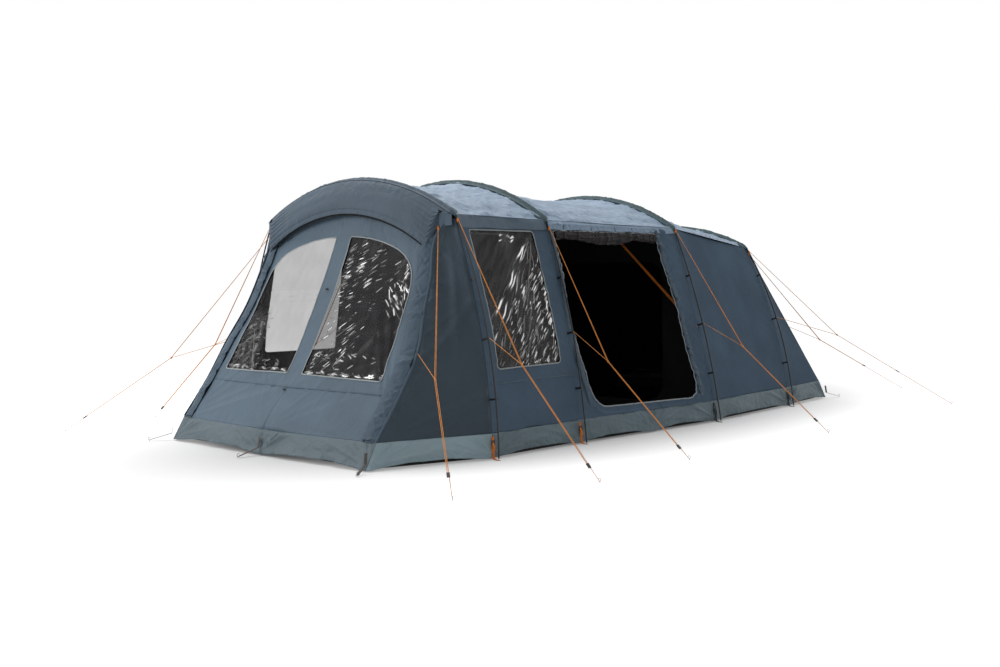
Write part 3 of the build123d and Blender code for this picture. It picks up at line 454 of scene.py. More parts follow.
# %% Fold functions
def puckers(along, away, seed, spacing=0.045, reach=0.12, height=0.003, slant=0.25):
    """Ridges that start on a seam: exp(-(offset/width)^2) across, exp(-away/reach) outwards."""
    rng = np.random.default_rng(seed)
    first, last = float(along.min()), float(along.max())
    count = max(1, int((last - first) / spacing))
    total = np.zeros(np.broadcast(along, away).shape)
    for place in rng.uniform(first, last, count):
        tall = height * rng.uniform(0.3, 1.0) * rng.choice([-0.6, 1.0])
        wide = spacing * rng.uniform(0.18, 0.40)
        far = reach * rng.uniform(0.4, 1.5)
        lean = rng.normal(0, slant)
        offset = (along - place - lean * away) / (wide * (1 + away / reach))
        total += tall * np.exp(-offset ** 2 - away / far)
    return total


def fan(p, q, corner, seed, count=14, reach=0.8, height=0.006, spread=(0.0, pi / 2)):
    """Folds that run out of one point: narrow bumps of direction, rising and then fading with distance."""
    rng = np.random.default_rng(seed)
    dp, dq = p - corner[0], q - corner[1]
    far, turn = np.hypot(dp, dq), np.arctan2(dq, dp)
    total = np.zeros(np.broadcast(p, q).shape)
    for way in rng.uniform(*spread, count):
        tall, wide = height * rng.uniform(0.3, 1.0), rng.uniform(0.02, 0.06)
        total += tall * np.exp(-((turn - way) / wide) ** 2)
    return total * (far / reach) * np.exp(1 - far / reach) * 1.2


def slack(p, q, seed, size=0.5, height=0.008, stretch=(1.0, 1.0), waves=14):
    """Slow waves of cloth: a sum of cosines in random directions, longer along one way by stretch."""
    rng = np.random.default_rng(seed)
    total = np.zeros(np.broadcast(p, q).shape)
    for turn, phase in zip(rng.uniform(0, 2 * pi, waves), rng.uniform(0, 2 * pi, waves)):
        k = 2 * pi / (size * rng.uniform(0.6, 1.8))
        total += np.cos(k * (cos(turn) * p / stretch[0] + sin(turn) * q / stretch[1]) + phase)
    return total * height / sqrt(waves)


def crinkle(p, q, seed, size=0.12, height=0.004):
    """Sharp random creases: the absolute value of slack turns its zero lines into valleys between facets."""
    return (abs(slack(p, q, seed, size, 1.0)) + abs(slack(p, q, seed + 1000, size * 0.6, 0.6)) - 0.9) * height


def bell(x, middle, width):
    """A bump of height 1: exp(-((x - middle)/width)^2)."""
    return np.exp(-((x - middle) / width) ** 2)


def ease(x):
    """Smooth step from 0 to 1: 3x^2 - 2x^3."""
    x = np.clip(x, 0, 1)
    return x * x * (3 - 2 * x)


# %% [markdown]
# ## Roof bays
#
# The roof is three bays of cloth, each sewn to the sleeves of its two hoops. Their colour
# is painted paler than the walls' cloth, for the strong light that falls on the roof from
# above. The sleeve is stiff and the bay is pulled tight lengthways, so ridges stand on both
# sleeves and reach far into the bay, and the middle sinks a little.

# %% Roof cloth
ROOF_SAG = 0.045  # share of the bay's length
ROOF_HALF = 1.15  # half the roof's arc from seam to seam


def roof_sag(v, share, deep):
    """The crown's sag between two hoops: a parabola along the bay times another across it."""
    return ROOF_SAG * deep * 4 * v * (1 - v) * (1 - share ** 2)


def roof_bay(number, rows=120, columns=170):
    """A blend from one roof arc to the next, sunk by the sag, with ridges on all four seams and creases."""
    front, rear = hoops[number - 1], hoops[number]
    v, share = down(rows), over(columns, -1)
    y0, y1 = front.y + 0.0005, rear.y - 0.0005
    deep = y1 - y0
    across = share * ROOF_HALF
    from_front, from_rear = v * deep, (1 - v) * deep
    from_side = (1 - abs(across) / ROOF_HALF) * ROOF_HALF
    folds = puckers(across, from_front, 10 + number, 0.060, 0.22, 0.010, 0.6)
    folds += puckers(across, from_rear, 20 + number, 0.055, 0.18, 0.008, 0.6)
    folds += slack(across, from_front, 30 + number, 0.26, 0.0055, (0.75, 1.5), 18)
    folds += crinkle(across, from_front, 40 + number, 0.11, 0.0045)
    folds += puckers(from_front, from_side, 50 + number, 0.045, 0.10, 0.006, 0.4)
    held = ease(np.minimum(from_front, from_rear) / 0.03) * ease((1 - abs(share)) / 0.03)
    drop = SKIN_DROP + (0.002 - folds) * held
    xf, zf = front.roof.at(share * front.end, drop)
    xr, zr = rear.roof.at(share * rear.end, drop)
    return xyz(xf + (xr - xf) * v, y0 + deep * v, zf + (zr - zf) * v - roof_sag(v, share, deep))


for number in (1, 2, 3):
    cloth(f"roof_cloth_{number}", roof_bay(number), roof_painted_light_finish, replaces=[f"roof_{number}"],
          slot="roof_cloth")

# %% [markdown]
# ## Panels with a window or a door in them
#
# A panel with an opening is made as a ring: rays leave the middle of the opening, each ray
# crosses the opening's edge and then the panel's edge, and the cloth is the part between
# the two. Both edges come out clean, because every ray has a point exactly on each. The
# ring is worked out flat and then lifted onto the curved wall.

# %% Rays from an opening's middle
def reach_of(outline, centre, angles):
    """Distance from the centre to a closed outline along each angle, where each ray crosses a side."""
    a = np.asarray(outline, float) - centre
    b = np.roll(a, -1, axis=0)
    way = np.stack([np.cos(angles), np.sin(angles)], axis=-1)[:, None, :]
    side = (b - a)[None]
    cross = way[..., 0] * side[..., 1] - way[..., 1] * side[..., 0]
    cross = np.where(abs(cross) < 1e-12, 1e-12, cross)
    far = (a[None, :, 0] * side[..., 1] - a[None, :, 1] * side[..., 0]) / cross
    along = (a[None, :, 0] * way[..., 1] - a[None, :, 1] * way[..., 0]) / cross
    good = (far > 0) & (along >= -1e-9) & (along <= 1 + 1e-9)
    return np.where(good, far, -np.inf).max(axis=1)


def rounded(corners, radii, steps=8):
    """A closed outline whose corners are cut by quadratic curves that start a radius from each corner."""
    corners = np.asarray(corners, float)
    out = []
    for corner, before, after, radius in zip(corners, np.roll(corners, 1, 0), np.roll(corners, -1, 0), radii):
        start = corner + (before - corner) * min(0.5, radius / np.linalg.norm(before - corner))
        end = corner + (after - corner) * min(0.5, radius / np.linalg.norm(after - corner))
        t = np.linspace(0, 1, steps)[:, None]
        out.append((1 - t) ** 2 * start + 2 * t * (1 - t) * corner + t ** 2 * end)
    return np.concatenate(out)


def ray_angles(centre, outlines, count):
    """Even angles, plus the angles of every outline's corners."""
    own = [np.arctan2(*(np.asarray(o, float) - centre).T[::-1]) for o in outlines]
    return np.unique(np.round(np.concatenate([np.linspace(-pi, pi, count, endpoint=False), *own]), 5))


def ring(inner, outer, centre, rings=40, count=300):
    """Flat points from the opening's edge (first row) to the panel's edge (last row)."""
    angles = ray_angles(centre, [outer], count)
    near, far = reach_of(inner, centre, angles), reach_of(outer, centre, angles)
    r = near + (far - near) * down(rings)
    return np.stack([centre[0] + r * np.cos(angles), centre[1] + r * np.sin(angles)], axis=-1)


def disc(outline, centre, size=90, grow=0.0):
    """A square grid squeezed into an outline: its square rings become smaller copies of the outline."""
    s, t = np.broadcast_arrays(down(size, -1), over(size, -1))
    angle, r = np.arctan2(t, s), np.maximum(abs(s), abs(t))
    far = reach_of(outline, centre, angle.ravel()).reshape(angle.shape) + grow
    return np.stack([centre[0] + r * far * np.cos(angle), centre[1] + r * far * np.sin(angle)], axis=-1)


def to_outline(p, q, outline):
    """For flat points: how far along a closed outline the nearest place lies, and how far away it is."""
    shape = np.broadcast(p, q).shape
    points = np.stack([np.broadcast_to(p, shape), np.broadcast_to(q, shape)], axis=-1).reshape(-1, 1, 2)
    a = np.asarray(outline, float)
    side = np.roll(a, -1, axis=0) - a
    long = np.linalg.norm(side, axis=1)
    start = np.concatenate([[0], np.cumsum(long)[:-1]])
    share = np.clip(((points - a) * side).sum(-1) / np.maximum(long, 1e-9) ** 2, 0, 1)
    away = np.linalg.norm(points - a - share[..., None] * side, axis=-1)
    best = away.argmin(axis=1)
    pick = np.arange(len(best)), best
    return (start[best] + share[pick] * long[best]).reshape(shape), away[pick].reshape(shape)


# %% [markdown]
# ## Side walls
#
# The walls hang from the roof seam to the hem band and are pulled tight between the hoops.
# Clips hold them to the pole legs, so short ridges stand along each hoop. Round a window the
# film's seam puckers the cloth, and round the door the heavy zip puckers it much more.

# %% Wall surfaces
PULL_IN = 0.010  # how far a wall is pulled in at the middle of its bay


def wall_surface(number, folds, side):
    """Blend of two hoops' wall arcs, pulled in by half a sine wave along the bay, plus the folds."""
    front, rear = hoops[number - 1], hoops[number]

    def lift(y, z, out=0.0):
        y, z = np.broadcast_arrays(y, z)
        share = (y - front.y) / (rear.y - front.y)
        top = front.skin_shoulder[1] * (1 - share) + rear.skin_shoulder[1] * share
        held = ease(np.minimum(y - front.y, rear.y - y) / 0.03) * ease((top - z) / 0.03)
        x = front.wall.x_at(z) * (1 - share) + rear.wall.x_at(z) * share
        x = x - PULL_IN * np.sin(pi * share) * ease((z - BAND_TOP) / 0.3) + 1.6 * folds(y, z) * held + out
        return xyz(side * x, y, z)

    return lift


def wall_edge(number):
    """The panel's own outline in (y, z): the two hoops, the roof seam and the hem band."""
    front, rear = hoops[number - 1], hoops[number]
    y0, y1 = front.y + 0.0004, rear.y - 0.0004
    return np.array([(y0, BAND_TOP), (y1, BAND_TOP), (y1, rear.skin_shoulder[1] - 0.002),
                     (y0, front.skin_shoulder[1] - 0.002)])


def hoop_puckers(number, seed, height=0.003):
    """Folds of a plain wall: ridges along both hoops, slack between them and a soft point at each clip."""
    front, rear = hoops[number - 1], hoops[number]

    def folds(y, z):
        total = puckers(z, y - front.y, seed, 0.06, 0.11, 1.8 * height, 0.8)
        total += puckers(z, rear.y - y, seed + 1, 0.06, 0.11, 1.8 * height, 0.8)
        total += slack(y, z, seed + 2, 0.55, 0.004, (0.8, 1.6))
        for hoop in (front, rear):
            for clip in CLIP_HEIGHTS:
                total += 0.006 * np.exp(-np.hypot(y - hoop.y, (z - clip) * 1.6) / 0.06)
        return total

    return folds


SIDE_SEAM = 0.515  # height of the seam under the side window
side_window = rounded([(-1.942, 1.590), (-1.241, 1.590), (-1.196, 0.612), (-1.932, 0.612)], [0.03] * 4)
side_door = rounded([(-1.000, 1.602), (0.372, 1.602), (0.472, 0.225), (-0.855, 0.250), (-1.005, 0.881)],
                    [0.012, 0.012, 0.15, 0.15, 0.12], 12)


def window_wall_folds(seed):
    """A plain wall's folds, with fine ridges round the window and along the seam under it."""
    hoop_part = hoop_puckers(1, seed)

    def folds(y, z):
        along, away = to_outline(y, z, side_window)
        total = hoop_part(y, z) + puckers(along, away, seed + 5, 0.05, 0.06, 0.0025, 0.5)
        return total + puckers(y, abs(z - SIDE_SEAM), seed + 6, 0.06, 0.05, 0.002, 0.6)

    return folds


def door_wall_folds(seed):
    """A plain wall's folds, with deep ridges round the door and a raised line where its zip is sewn on."""
    hoop_part = hoop_puckers(2, seed)

    def folds(y, z):
        along, away = to_outline(y, z, side_door)
        total = hoop_part(y, z) + puckers(along, away, seed + 5, 0.030, 0.13, 0.008, 0.5)
        return total + 0.006 * bell(away, 0.055, 0.012)

    return folds


FULLNESS = 1.03  # a panel's flat size is given this much larger than its outline


def ring_panel(name, surface, opening, edge, centre, finish, replaces, rings=34, count=320, **more):
    """The cloth between an opening and a panel's edge, lifted onto a surface."""
    flat = ring(opening, edge, centre, rings, count)
    cloth(name, surface(flat[..., 0], flat[..., 1]), finish, replaces, closed=True, uv=flat,
          flat=np.ptp(np.asarray(edge), axis=0) * FULLNESS, **more)


def plain_panel(name, surface, edge, finish, replaces, rows=80, columns=80, **more):
    """A grid between the first two and the last two corners of a four-sided outline."""
    a, b, c, d = edge
    t, s = down(rows), over(columns)
    p, q = ((a[k] * (1 - s) + b[k] * s) * (1 - t) + (d[k] * (1 - s) + c[k] * s) * t for k in (0, 1))
    cloth(name, surface(p, q), finish, replaces, uv=np.stack([p, q], axis=-1), **more)


window_wall = {side: wall_surface(1, window_wall_folds(seed), side) for side, seed in ((1, 100), (-1, 140))}
door_wall = wall_surface(2, door_wall_folds(200), 1)
left_wall = wall_surface(2, hoop_puckers(2, 240, 0.004), -1)
rear_wall = {side: wall_surface(3, hoop_puckers(3, seed, 0.004), side)
             for side, seed in ((1, 300), (-1, 340))}

for side, word in SIDES:
    ring_panel(f"wall_cloth_1_{word}", window_wall[side], side_window, wall_edge(1), np.array([-1.58, 1.08]),
               wall_finish, [f"wall_1_{word}"], middle=(0, -1.5, 0.8))
    plain_panel(f"wall_cloth_3_{word}", rear_wall[side], wall_edge(3), wall_finish, [f"wall_3_{word}"],
                middle=(0, 1.4, 0.8))
ring_panel("wall_cloth_2_right", door_wall, side_door, wall_edge(2), np.array([-0.25, 0.92]), wall_finish,
           ["wall_2_right"], rings=32, count=420, middle=(0, -0.2, 0.8))
plain_panel("wall_cloth_2_left", left_wall, wall_edge(2), wall_finish, ["wall_2_left"], middle=(0, -0.2, 0.8))


def eave(number, word, surface, low, finish, seed):
    """The cloth that covers the top of a wall, from the roof seam down to the head of the opening."""
    front, rear = hoops[number - 1], hoops[number]
    edge = np.array([(front.y + 0.006, low), (rear.y - 0.006, low),
                     (rear.y - 0.006, rear.skin_shoulder[1] - 0.003),
                     (front.y + 0.006, front.skin_shoulder[1] - 0.003)])

    def raised(y, z):
        folds = puckers(y, z - low, seed, 0.045, 0.05, 0.004, 0.6)
        folds += puckers(y, 1.70 - z, seed + 1, 0.06, 0.06, 0.004, 0.6)
        return surface(y, z - 0.006 * np.sin(9 * y) ** 2 * (z < low + 0.04), 0.005 + abs(folds))

    plain_panel(f"eave_{number}_{word}", raised, edge, finish, [f"wall_{number}_{word}"], rows=16,
                columns=120, middle=(0, -0.2, 0.8))


# the eaves over the door take the roof's colour, with its painted light
for side, word in SIDES:
    eave(1, word, window_wall[side], 1.606, front_finish, 720 + side)
    eave(2, word, door_wall if side > 0 else left_wall, 1.612, roof_painted_light_finish, 730 + side)

# %% [markdown]
# ## Front panel
#
# The front leans back from the hem to the hood and bows out a little in the middle. Its two
# windows nearly fill it. The surface is a table of levels, joined by smooth curves, so that
# no kink shows between them.

# %% Front surface
FRONT_SEAM = 0.468  # height of the seam under the front windows
FRONT_HEAD = 1.565  # above this height the front leans back under the hood
ZIP_SHARE = 0.9  # the zips stand at this share of the front's half width
front_table = np.array([  # height, corner x, corner y and middle y ahead of hoop 1
    (0.055, 1.136, -0.914, -0.926), (0.180, 1.132, -0.815, -0.885), (0.480, 1.127, -0.590, -0.655),
    (0.742, 1.119, -0.427, -0.500), (1.030, 1.041, -0.280, -0.350), (1.240, 1.010, -0.190, -0.250),
    (1.565, 0.972, -0.078, -0.116), (1.670, 1.020, -0.030, -0.075)])


def smooth_table(z, column):
    """A curve through a table's values whose slope at each row is the chord of its two neighbours."""
    levels, values = front_table[:, 0], front_table[:, column]
    slopes = np.gradient(values, levels)
    z = np.clip(z, levels[0], levels[-1])
    i = np.clip(np.searchsorted(levels, z, side="right") - 1, 0, len(levels) - 2)
    h = levels[i + 1] - levels[i]
    t = (z - levels[i]) / h
    start = (2 * t ** 3 - 3 * t ** 2 + 1) * values[i] + (t ** 3 - 2 * t ** 2 + t) * h * slopes[i]
    return start + (3 * t ** 2 - 2 * t ** 3) * values[i + 1] + (t ** 3 - t ** 2) * h * slopes[i + 1]


def front_top(x):
    """Height of the front's upper edge, along the first roof arc."""
    return hoops[0].roof.z_at(abs(np.clip(x, -1.04, 1.04)), SKIN_DROP + 0.0005)


def front_depth(x, z):
    """How far forward the front lies: level by level below the hood, then back to the roof's edge."""
    below = np.minimum(z, FRONT_HEAD)
    level = smooth_table(below, 3)
    level = level + (smooth_table(below, 2) - level) * np.clip(x / smooth_table(z, 1), -1, 1) ** 2
    rise = np.clip((z - FRONT_HEAD) / np.maximum(front_top(x) - FRONT_HEAD, 0.05), 0, 1)
    return hoops[0].y + level * (1 - rise) - 0.020 * rise


window_half = [(0.085, 0.560), (0.912, 0.548), (0.890, 0.800), (0.864, 1.080), (0.852, 1.190), (0.826, 1.280),
               (0.786, 1.346), (0.730, 1.398), (0.660, 1.442), (0.560, 1.480), (0.450, 1.512), (0.330, 1.538),
               (0.200, 1.553), (0.085, 1.560)]
front_window = {1: rounded(window_half, [0.012, 0.025] + [0.05] * 11 + [0.012], 4)}
front_window[-1] = front_window[1] * (-1, 1)
side_z = np.linspace(BAND_TOP, 1.665, 24)
front_side = np.stack([smooth_table(side_z, 1) - PANEL_GAP, side_z], axis=-1)
arch_x = np.linspace(1.02, 0.0, 24)
front_half = np.concatenate([[(0.0, BAND_TOP)], front_side, np.stack([arch_x, front_top(arch_x)], axis=-1)])


def front_folds(x, z):
    """Slack, ridges on every seam, and a fan out of each pegged corner and out of the middle peg."""
    total = slack(x, z, 400, 0.6, 0.006, (1.0, 1.3))
    total += puckers(x, abs(1.66 - 0.20 * x ** 2 - z), 402, 0.034, 0.10, 0.007, 0.25)
    total += puckers(x, abs(FRONT_SEAM - z), 404, 0.06, 0.07, 0.004, 0.6)
    total += puckers(x, z - BAND_TOP, 406, 0.06, 0.08, 0.004, 0.6)
    along, away = to_outline(abs(x), z, front_window[1])
    for side, way in ((1, (pi / 2, pi)), (-1, (0, pi / 2))):
        total += np.where(x * side >= 0, puckers(along, away, 410 + side, 0.06, 0.05, 0.0022, 0.6), 0)
        total += fan(x, z, (side * 1.13, 0.16), 420 + side, 12, 0.7, 0.005, way)
    total += fan(x, z, (0.0, 0.16), 430, 14, 0.5, 0.004, (0.1, pi - 0.1))
    total += puckers(x, abs(z - FRONT_SEAM), 440, 0.05, 0.05, 0.002, 0.6)
    total += puckers(x, np.maximum(1.90 - z, 0), 441, 0.035, 0.20, 0.0035, 0.1) * bell(x, 0, 0.35)
    return total


def front_surface(x, z, out=0.0):
    """The front panel, pushed forward by its folds. They die out at its edges and along each zip's straight
    foot, where the taut tape also draws the cloth back."""
    x, z = np.broadcast_arrays(x, z)
    half = smooth_table(z, 1)
    held = ease((half - abs(x) - 0.012) / 0.05) * ease((z - BAND_TOP) / 0.02)
    held = held * ease((front_top(x) - z) / 0.02)
    taut = bell(abs(x), ZIP_SHARE * half, 0.018) * ease((0.52 - z) / 0.08)
    return xyz(x, front_depth(x, z) - (front_folds(x, z) * held * (1 - taut) - 0.0016 * taut + out), z)


for side, word in SIDES:
    ring_panel(f"front_cloth_{word}", front_surface, front_window[side], front_half * (side, 1),
               np.array([side * 0.49, 1.03]), front_finish, ["front_panel"], rings=40, count=340,
               middle=(0, -1.5, 0.8), slot="front_cloth")

# %% [markdown]
# ## Windows
#
# Each pane is sewn behind its opening with a margin of a centimetre and a half, so its edge
# never shows. The film is a single grid with shallow waves; the sharp creases and their
# painted white highlights come from its finish.

# %% Creases in the film, with painted highlights
def streaks(p, q, seed, count, place, way, long, wide, bright=(0.4, 1.0), rough=0.5):
    """Painted highlights on creases, as line pieces: exp(-(offset/width)^2) across, fading at both ends and
    broken up along the line. place gives the middles' ranges in p and q, way the range of directions in
    radians, and long and wide the sizes."""
    rng = np.random.default_rng(seed)
    shape, p, q = p.shape, p.ravel(), q.ravel()
    total = np.zeros(p.shape)
    for _ in range(count):
        a, b = rng.uniform(*place[0]), rng.uniform(*place[1])
        turn, half, width = rng.uniform(*way), rng.uniform(*long) / 2, rng.uniform(*wide)
        waves, top = rng.uniform((15, 20, 20), (45, 70, 70)), rng.uniform(*bright)
        near = np.nonzero((abs(p - a) < half + 0.02) & (abs(q - b) < half + 0.02))[0]
        dp, dq = p[near] - a, q[near] - b
        along, off = dp * cos(turn) + dq * sin(turn), dq * cos(turn) - dp * sin(turn)
        off = off - 0.004 * np.sin(along * waves[0] + a * 90)
        body = np.exp(-(off / width) ** 2) * ease((half - abs(along)) / (0.3 * half))
        gaps = 0.55 + rough * np.sin(along * waves[1] + b * 200) + rough * np.sin(along * 43 + a * 50)
        gaps = np.clip(gaps, 0, 1)
        total[near] = np.maximum(total[near], body * gaps * top)
    return total.reshape(shape)


def bundles(p, q, seed, parts, rough):
    """The brightest of several bundles of streaks at each point. The next bundle draws from the next seed."""
    return np.max([streaks(p, q, seed + number, *part, rough) for number, part in enumerate(parts)], axis=0)


def haze(p, q, seed, level, spread, size):
    """An even haze with slow waves."""
    return level + spread * np.clip(slack(p, q, seed, size, 1.0), -1, 1)


def side_crease_highlights(y, z, seed):
    """Painted highlights on a fan of long folds from the upper rear corner, and on short broken ones in the lower
    rear half.
    """
    total = haze(y - z, (y + z) * 0.25, seed, 0.14, 0.12, 0.08)
    rng = np.random.default_rng(seed)
    dy, dz = -1.255 - y, 1.590 - z
    strong = {0.80: (0.009, 1.0), 0.87: (0.007, 0.95), 0.94: (0.005, 0.8)}
    for turn in (*strong, *rng.uniform(0.62, 1.36, 22)):
        weak = rng.uniform(0.003, 0.005), rng.uniform(0.25, 0.62)
        width, bright = strong.get(turn, weak)
        along, off = dy * cos(turn) + dz * sin(turn), dz * cos(turn) - dy * sin(turn)
        off = off - 0.008 * np.sin(along * 13 + turn * 40) - 0.003 * np.sin(along * 47 + turn * 90)
        gaps = np.clip(0.7 + 0.5 * np.sin(along * 23 + turn * 90), 0, 1)
        fade = ease(along / 0.10) * ease((1.15 - along) / 0.2) * gaps
        total = np.maximum(total, bright * np.exp(-(off / (width * (1 + 0.6 * along))) ** 2) * fade)
    lower = ease((1.66 + 0.9 * (y + 1.20) - z) / 0.25)
    parts = [(150, ((-1.66, -1.20), (0.62, 1.36)), (0.70, 0.90), (0.08, 0.28), (0.0045, 0.0075), (0.6, 1.0)),
             (40, ((-1.245, -1.195), (0.62, 1.50)), (1.0, 1.5), (0.04, 0.12), (0.005, 0.008), (0.8, 1.0)),
             (60, ((-1.92, -1.40), (0.62, 0.95)), (0.70, 0.95), (0.08, 0.26), (0.0035, 0.005), (0.25, 0.7)),
             (30, ((-1.92, -1.20), (0.615, 0.66)), (0.5, 1.2), (0.03, 0.08), (0.004, 0.006), (0.5, 1.0))]
    head = streaks(y, z, seed + 9, 14, ((-1.62, -1.34), (1.50, 1.585)), (0.1, 0.6), (0.03, 0.11),
                   (0.005, 0.010), (0.8, 1.0), 0.4)
    return np.max([total, bundles(y, z, seed + 1, parts, 0.6) * lower, head], axis=0)


def front_crease_highlights(x, z, seed):
    """Painted highlights: broken streaks that rise outwards near the top, a fan at the outer edge and more by the
    sill.
    """
    x = abs(x)
    parts = [(80, ((0.10, 0.50), (1.18, 1.52)), (0.30, 0.60), (0.04, 0.16), (0.004, 0.006), (0.40, 1.0)),
             (30, ((0.30, 0.70), (1.05, 1.40)), (0.20, 0.70), (0.03, 0.10), (0.0035, 0.006), (0.3, 0.8)),
             (55, ((0.10, 0.36), (1.02, 1.36)), (0.15, 0.55), (0.03, 0.14), (0.0035, 0.006), (0.4, 1.0)),
             (34, ((0.66, 0.86), (1.00, 1.18)), (2.05, 2.65), (0.10, 0.26), (0.005, 0.008), (0.6, 1.0)),
             (26, ((0.74, 0.86), (1.12, 1.38)), (0.9, 1.7), (0.03, 0.10), (0.004, 0.007), (0.5, 1.0)),
             (40, ((0.10, 0.55), (0.85, 1.15)), (-0.3, 0.6), (0.02, 0.07), (0.0035, 0.005), (0.3, 0.9)),
             (80, ((0.10, 0.50), (0.62, 0.98)), (0.55, 1.05), (0.04, 0.16), (0.0035, 0.006), (0.35, 1.0)),
             (50, ((0.10, 0.90), (0.565, 0.72)), (-0.6, 0.6), (0.03, 0.12), (0.0035, 0.006), (0.3, 1.0)),
             (50, ((0.10, 0.90), (0.565, 0.590)), (-0.12, 0.12), (0.05, 0.15), (0.0035, 0.006), (0.5, 1.0))]
    return np.maximum(haze(x, z, seed, 0.05, 0.06, 0.12), bundles(x, z, seed, parts, 0.6))


def left_crease_highlights(x, z, seed):
    """Grey crumples and painted highlights on creases in the outer lower corner and by the sill, and an almost
    clear film elsewhere.
    """
    x = abs(x)
    corner = ease((x - 0.50 - 0.1 * (z - 0.56)) / 0.1) * ease((1.08 - z) / 0.2)
    milky = (0.30 + 0.14 * slack(x, z, seed + 9, 0.07, 1.0)) * corner
    parts = [(80, ((0.58, 0.92), (0.62, 0.98)), (-0.35, 0.25), (0.05, 0.18), (0.004, 0.008), (0.35, 0.7)),
             (34, ((0.20, 0.92), (0.56, 0.66)), (-0.8, 0.8), (0.03, 0.10), (0.0035, 0.006), (0.4, 0.9)),
             (50, ((0.10, 0.92), (0.565, 0.590)), (-0.12, 0.12), (0.05, 0.15), (0.0035, 0.006), (0.5, 1.0))]
    return np.max([haze(x, z, seed, 0.03, 0.02, 0.12), milky, bundles(x, z, seed, parts, 0.5)], axis=0)


def calm_creases(p, q, seed):
    """A pane that hangs flat: a faint haze and a few level lines."""
    lines = streaks(p, q, seed + 1, 5, ((-1.8, -1.3), (0.7, 1.5)), (-0.04, 0.04), (0.3, 0.7), (0.003, 0.004),
                    (0.10, 0.16), 0.2)
    return np.maximum(haze(p, q, seed, 0.05, 0.02, 0.3), lines)


# %% Window panes
MARGIN = 0.015  # film behind the cloth, all round


def pane(name, surface, outline, centre, creases, film, seed, node, size):
    """A disc of film with its creases and their painted highlights in an attribute; front panes face forwards,
    side panes sideways.
    """
    flat = disc(outline, np.asarray(centre), size, MARGIN)
    p, q = flat[..., 0], flat[..., 1]
    mask = np.clip(creases(p, q, seed), 0, 1)
    points = surface(p, q, -0.005 + (slack(p, q, seed, 0.40, 0.0012, (0.7, 1.4)) + 0.0008 * mask))
    mesh = grid_mesh(name, points, uv=flat)
    attribute = mesh.attributes.new("creases", "FLOAT", "POINT")
    attribute.data.foreach_set("value", mask.astype(np.float32).ravel())
    faces_out(mesh, np.array([0, points[..., 1].mean() + (node == "front_window_panes"), 0.8]))
    sheet = piece(name, mesh, [film], [node])
    print(f"{name}: creases cover {float((mask > 0.4).mean()):.0%} of the film")


# for each pane: its mask of painted crease highlights, its film and its grid size
side_films = {1: (side_crease_highlights, pane_film_painted_dark, 250), -1: (calm_creases, clear_film, 80)}
front_films = {1: (front_crease_highlights, pane_film_painted_dark, 250), -1: (left_crease_highlights, clear_film, 180)}
for side, word in SIDES:
    creases, film, size = side_films[side]
    pane(f"side_pane_{word}", window_wall[side], side_window, (-1.58, 1.10), creases, film, 500 + side,
         "side_window_panes", size)
    creases, film, size = front_films[side]
    pane(f"front_pane_{word}", front_surface, front_window[side], (side * 0.45, 1.03), creases, film,
         520 + 20 * side, "front_window_panes", size)

# %% [markdown]
# ## Side wedges of the front and the tail
#
# Between hoop 1 and the front's leaning edge, and between hoop 4 and the tail's edge, a
# three-sided wedge of cloth closes the side. It runs level from the hoop's wall to the
# edge. The front one hangs in soft upright folds, because its edge is slack beside the zip.

# %% Wedges
def wedge(name, side, edges, folds, gain, way, t, z, finish, node, middle):
    """Level by level between two upright edges, t = 0 at the hoop and 1 at the far edge. Folds stand out
    across the line between the edges; way is -1 ahead of the hoop and 1 behind it."""
    t, z = np.broadcast_arrays(t, z)
    xh, yh, xc, yc = edges(z)
    wide = np.maximum(np.hypot(xc - xh, yc - yh), 0.01)
    far = t * wide
    held = ease(far / 0.03) * ease((wide - far) / 0.03) * ease((z - BAND_TOP) / 0.03)
    push = gain * folds(t, z, far, wide) * held
    x = xh + (xc - xh) * t + way * (yc - yh) / wide * push
    y = yh + (yc - yh) * t - way * (xc - xh) / wide * push
    cloth(name, xyz(side * x, y, z), finish, [node], middle=middle)


def front_wedge_edges(z):
    """x and y of hoop 1's wall, then x and y of the front's edge, at each height."""
    hoop = hoops[0]
    return (hoop.wall.x_at(np.minimum(z, 1.690)), hoop.y - PANEL_GAP, smooth_table(z, 1),
            hoop.y + smooth_table(z, 2))


def front_wedge_folds(seed):
    """Slack upright folds, ridges on both edges, a fan out of the pegged corner and a deep middle fold."""
    def folds(t, z, far, wide):
        total = slack(far, z, seed, 0.45, 0.006, (0.6, 2.2))
        total = total + fan(far, z, (0.9, 0.16), seed + 1, 14, 0.7, 0.006, (pi / 2, pi))
        total += puckers(z, wide - far, seed + 2, 0.045, 0.16, 0.009, 0.7)
        total += puckers(z, far, seed + 3, 0.07, 0.06, 0.003, 0.4)
        total += 0.014 * bell(t, 0.42, 0.10) * np.sin(pi * np.clip((z - 0.18) / 1.3, 0, 1))
        return total - 0.010 * np.sin(pi * t) * ease((z - 0.2) / 0.3)

    return folds


wedge_t = over(80)
wedge_z = np.linspace(BAND_TOP, 1.665, 130)[:, None]
# the front wedges take the darker copy of the wall cloth, painted shade
for side, word, seed in ((1, "right", 600), (-1, "left", 640)):
    wedge(f"front_wedge_cloth_{word}", side, front_wedge_edges, front_wedge_folds(seed), 1.5, -1, wedge_t,
          wedge_z, wedge_painted_shade_finish, "front_wedges", (0, -2.2, 0.6))

tail_hoop = hoops[3]
shoulder_x, shoulder_z = tail_hoop.skin_shoulder


def tail_corner(z):
    """The straight edge from hoop 4's shoulder to the rear corner of the hem."""
    share, start = (shoulder_z - z) / (shoulder_z - HEM), tail_hoop.y + 0.0003
    return shoulder_x + share * (REAR_HALF - shoulder_x), start + share * (rear_y - start)


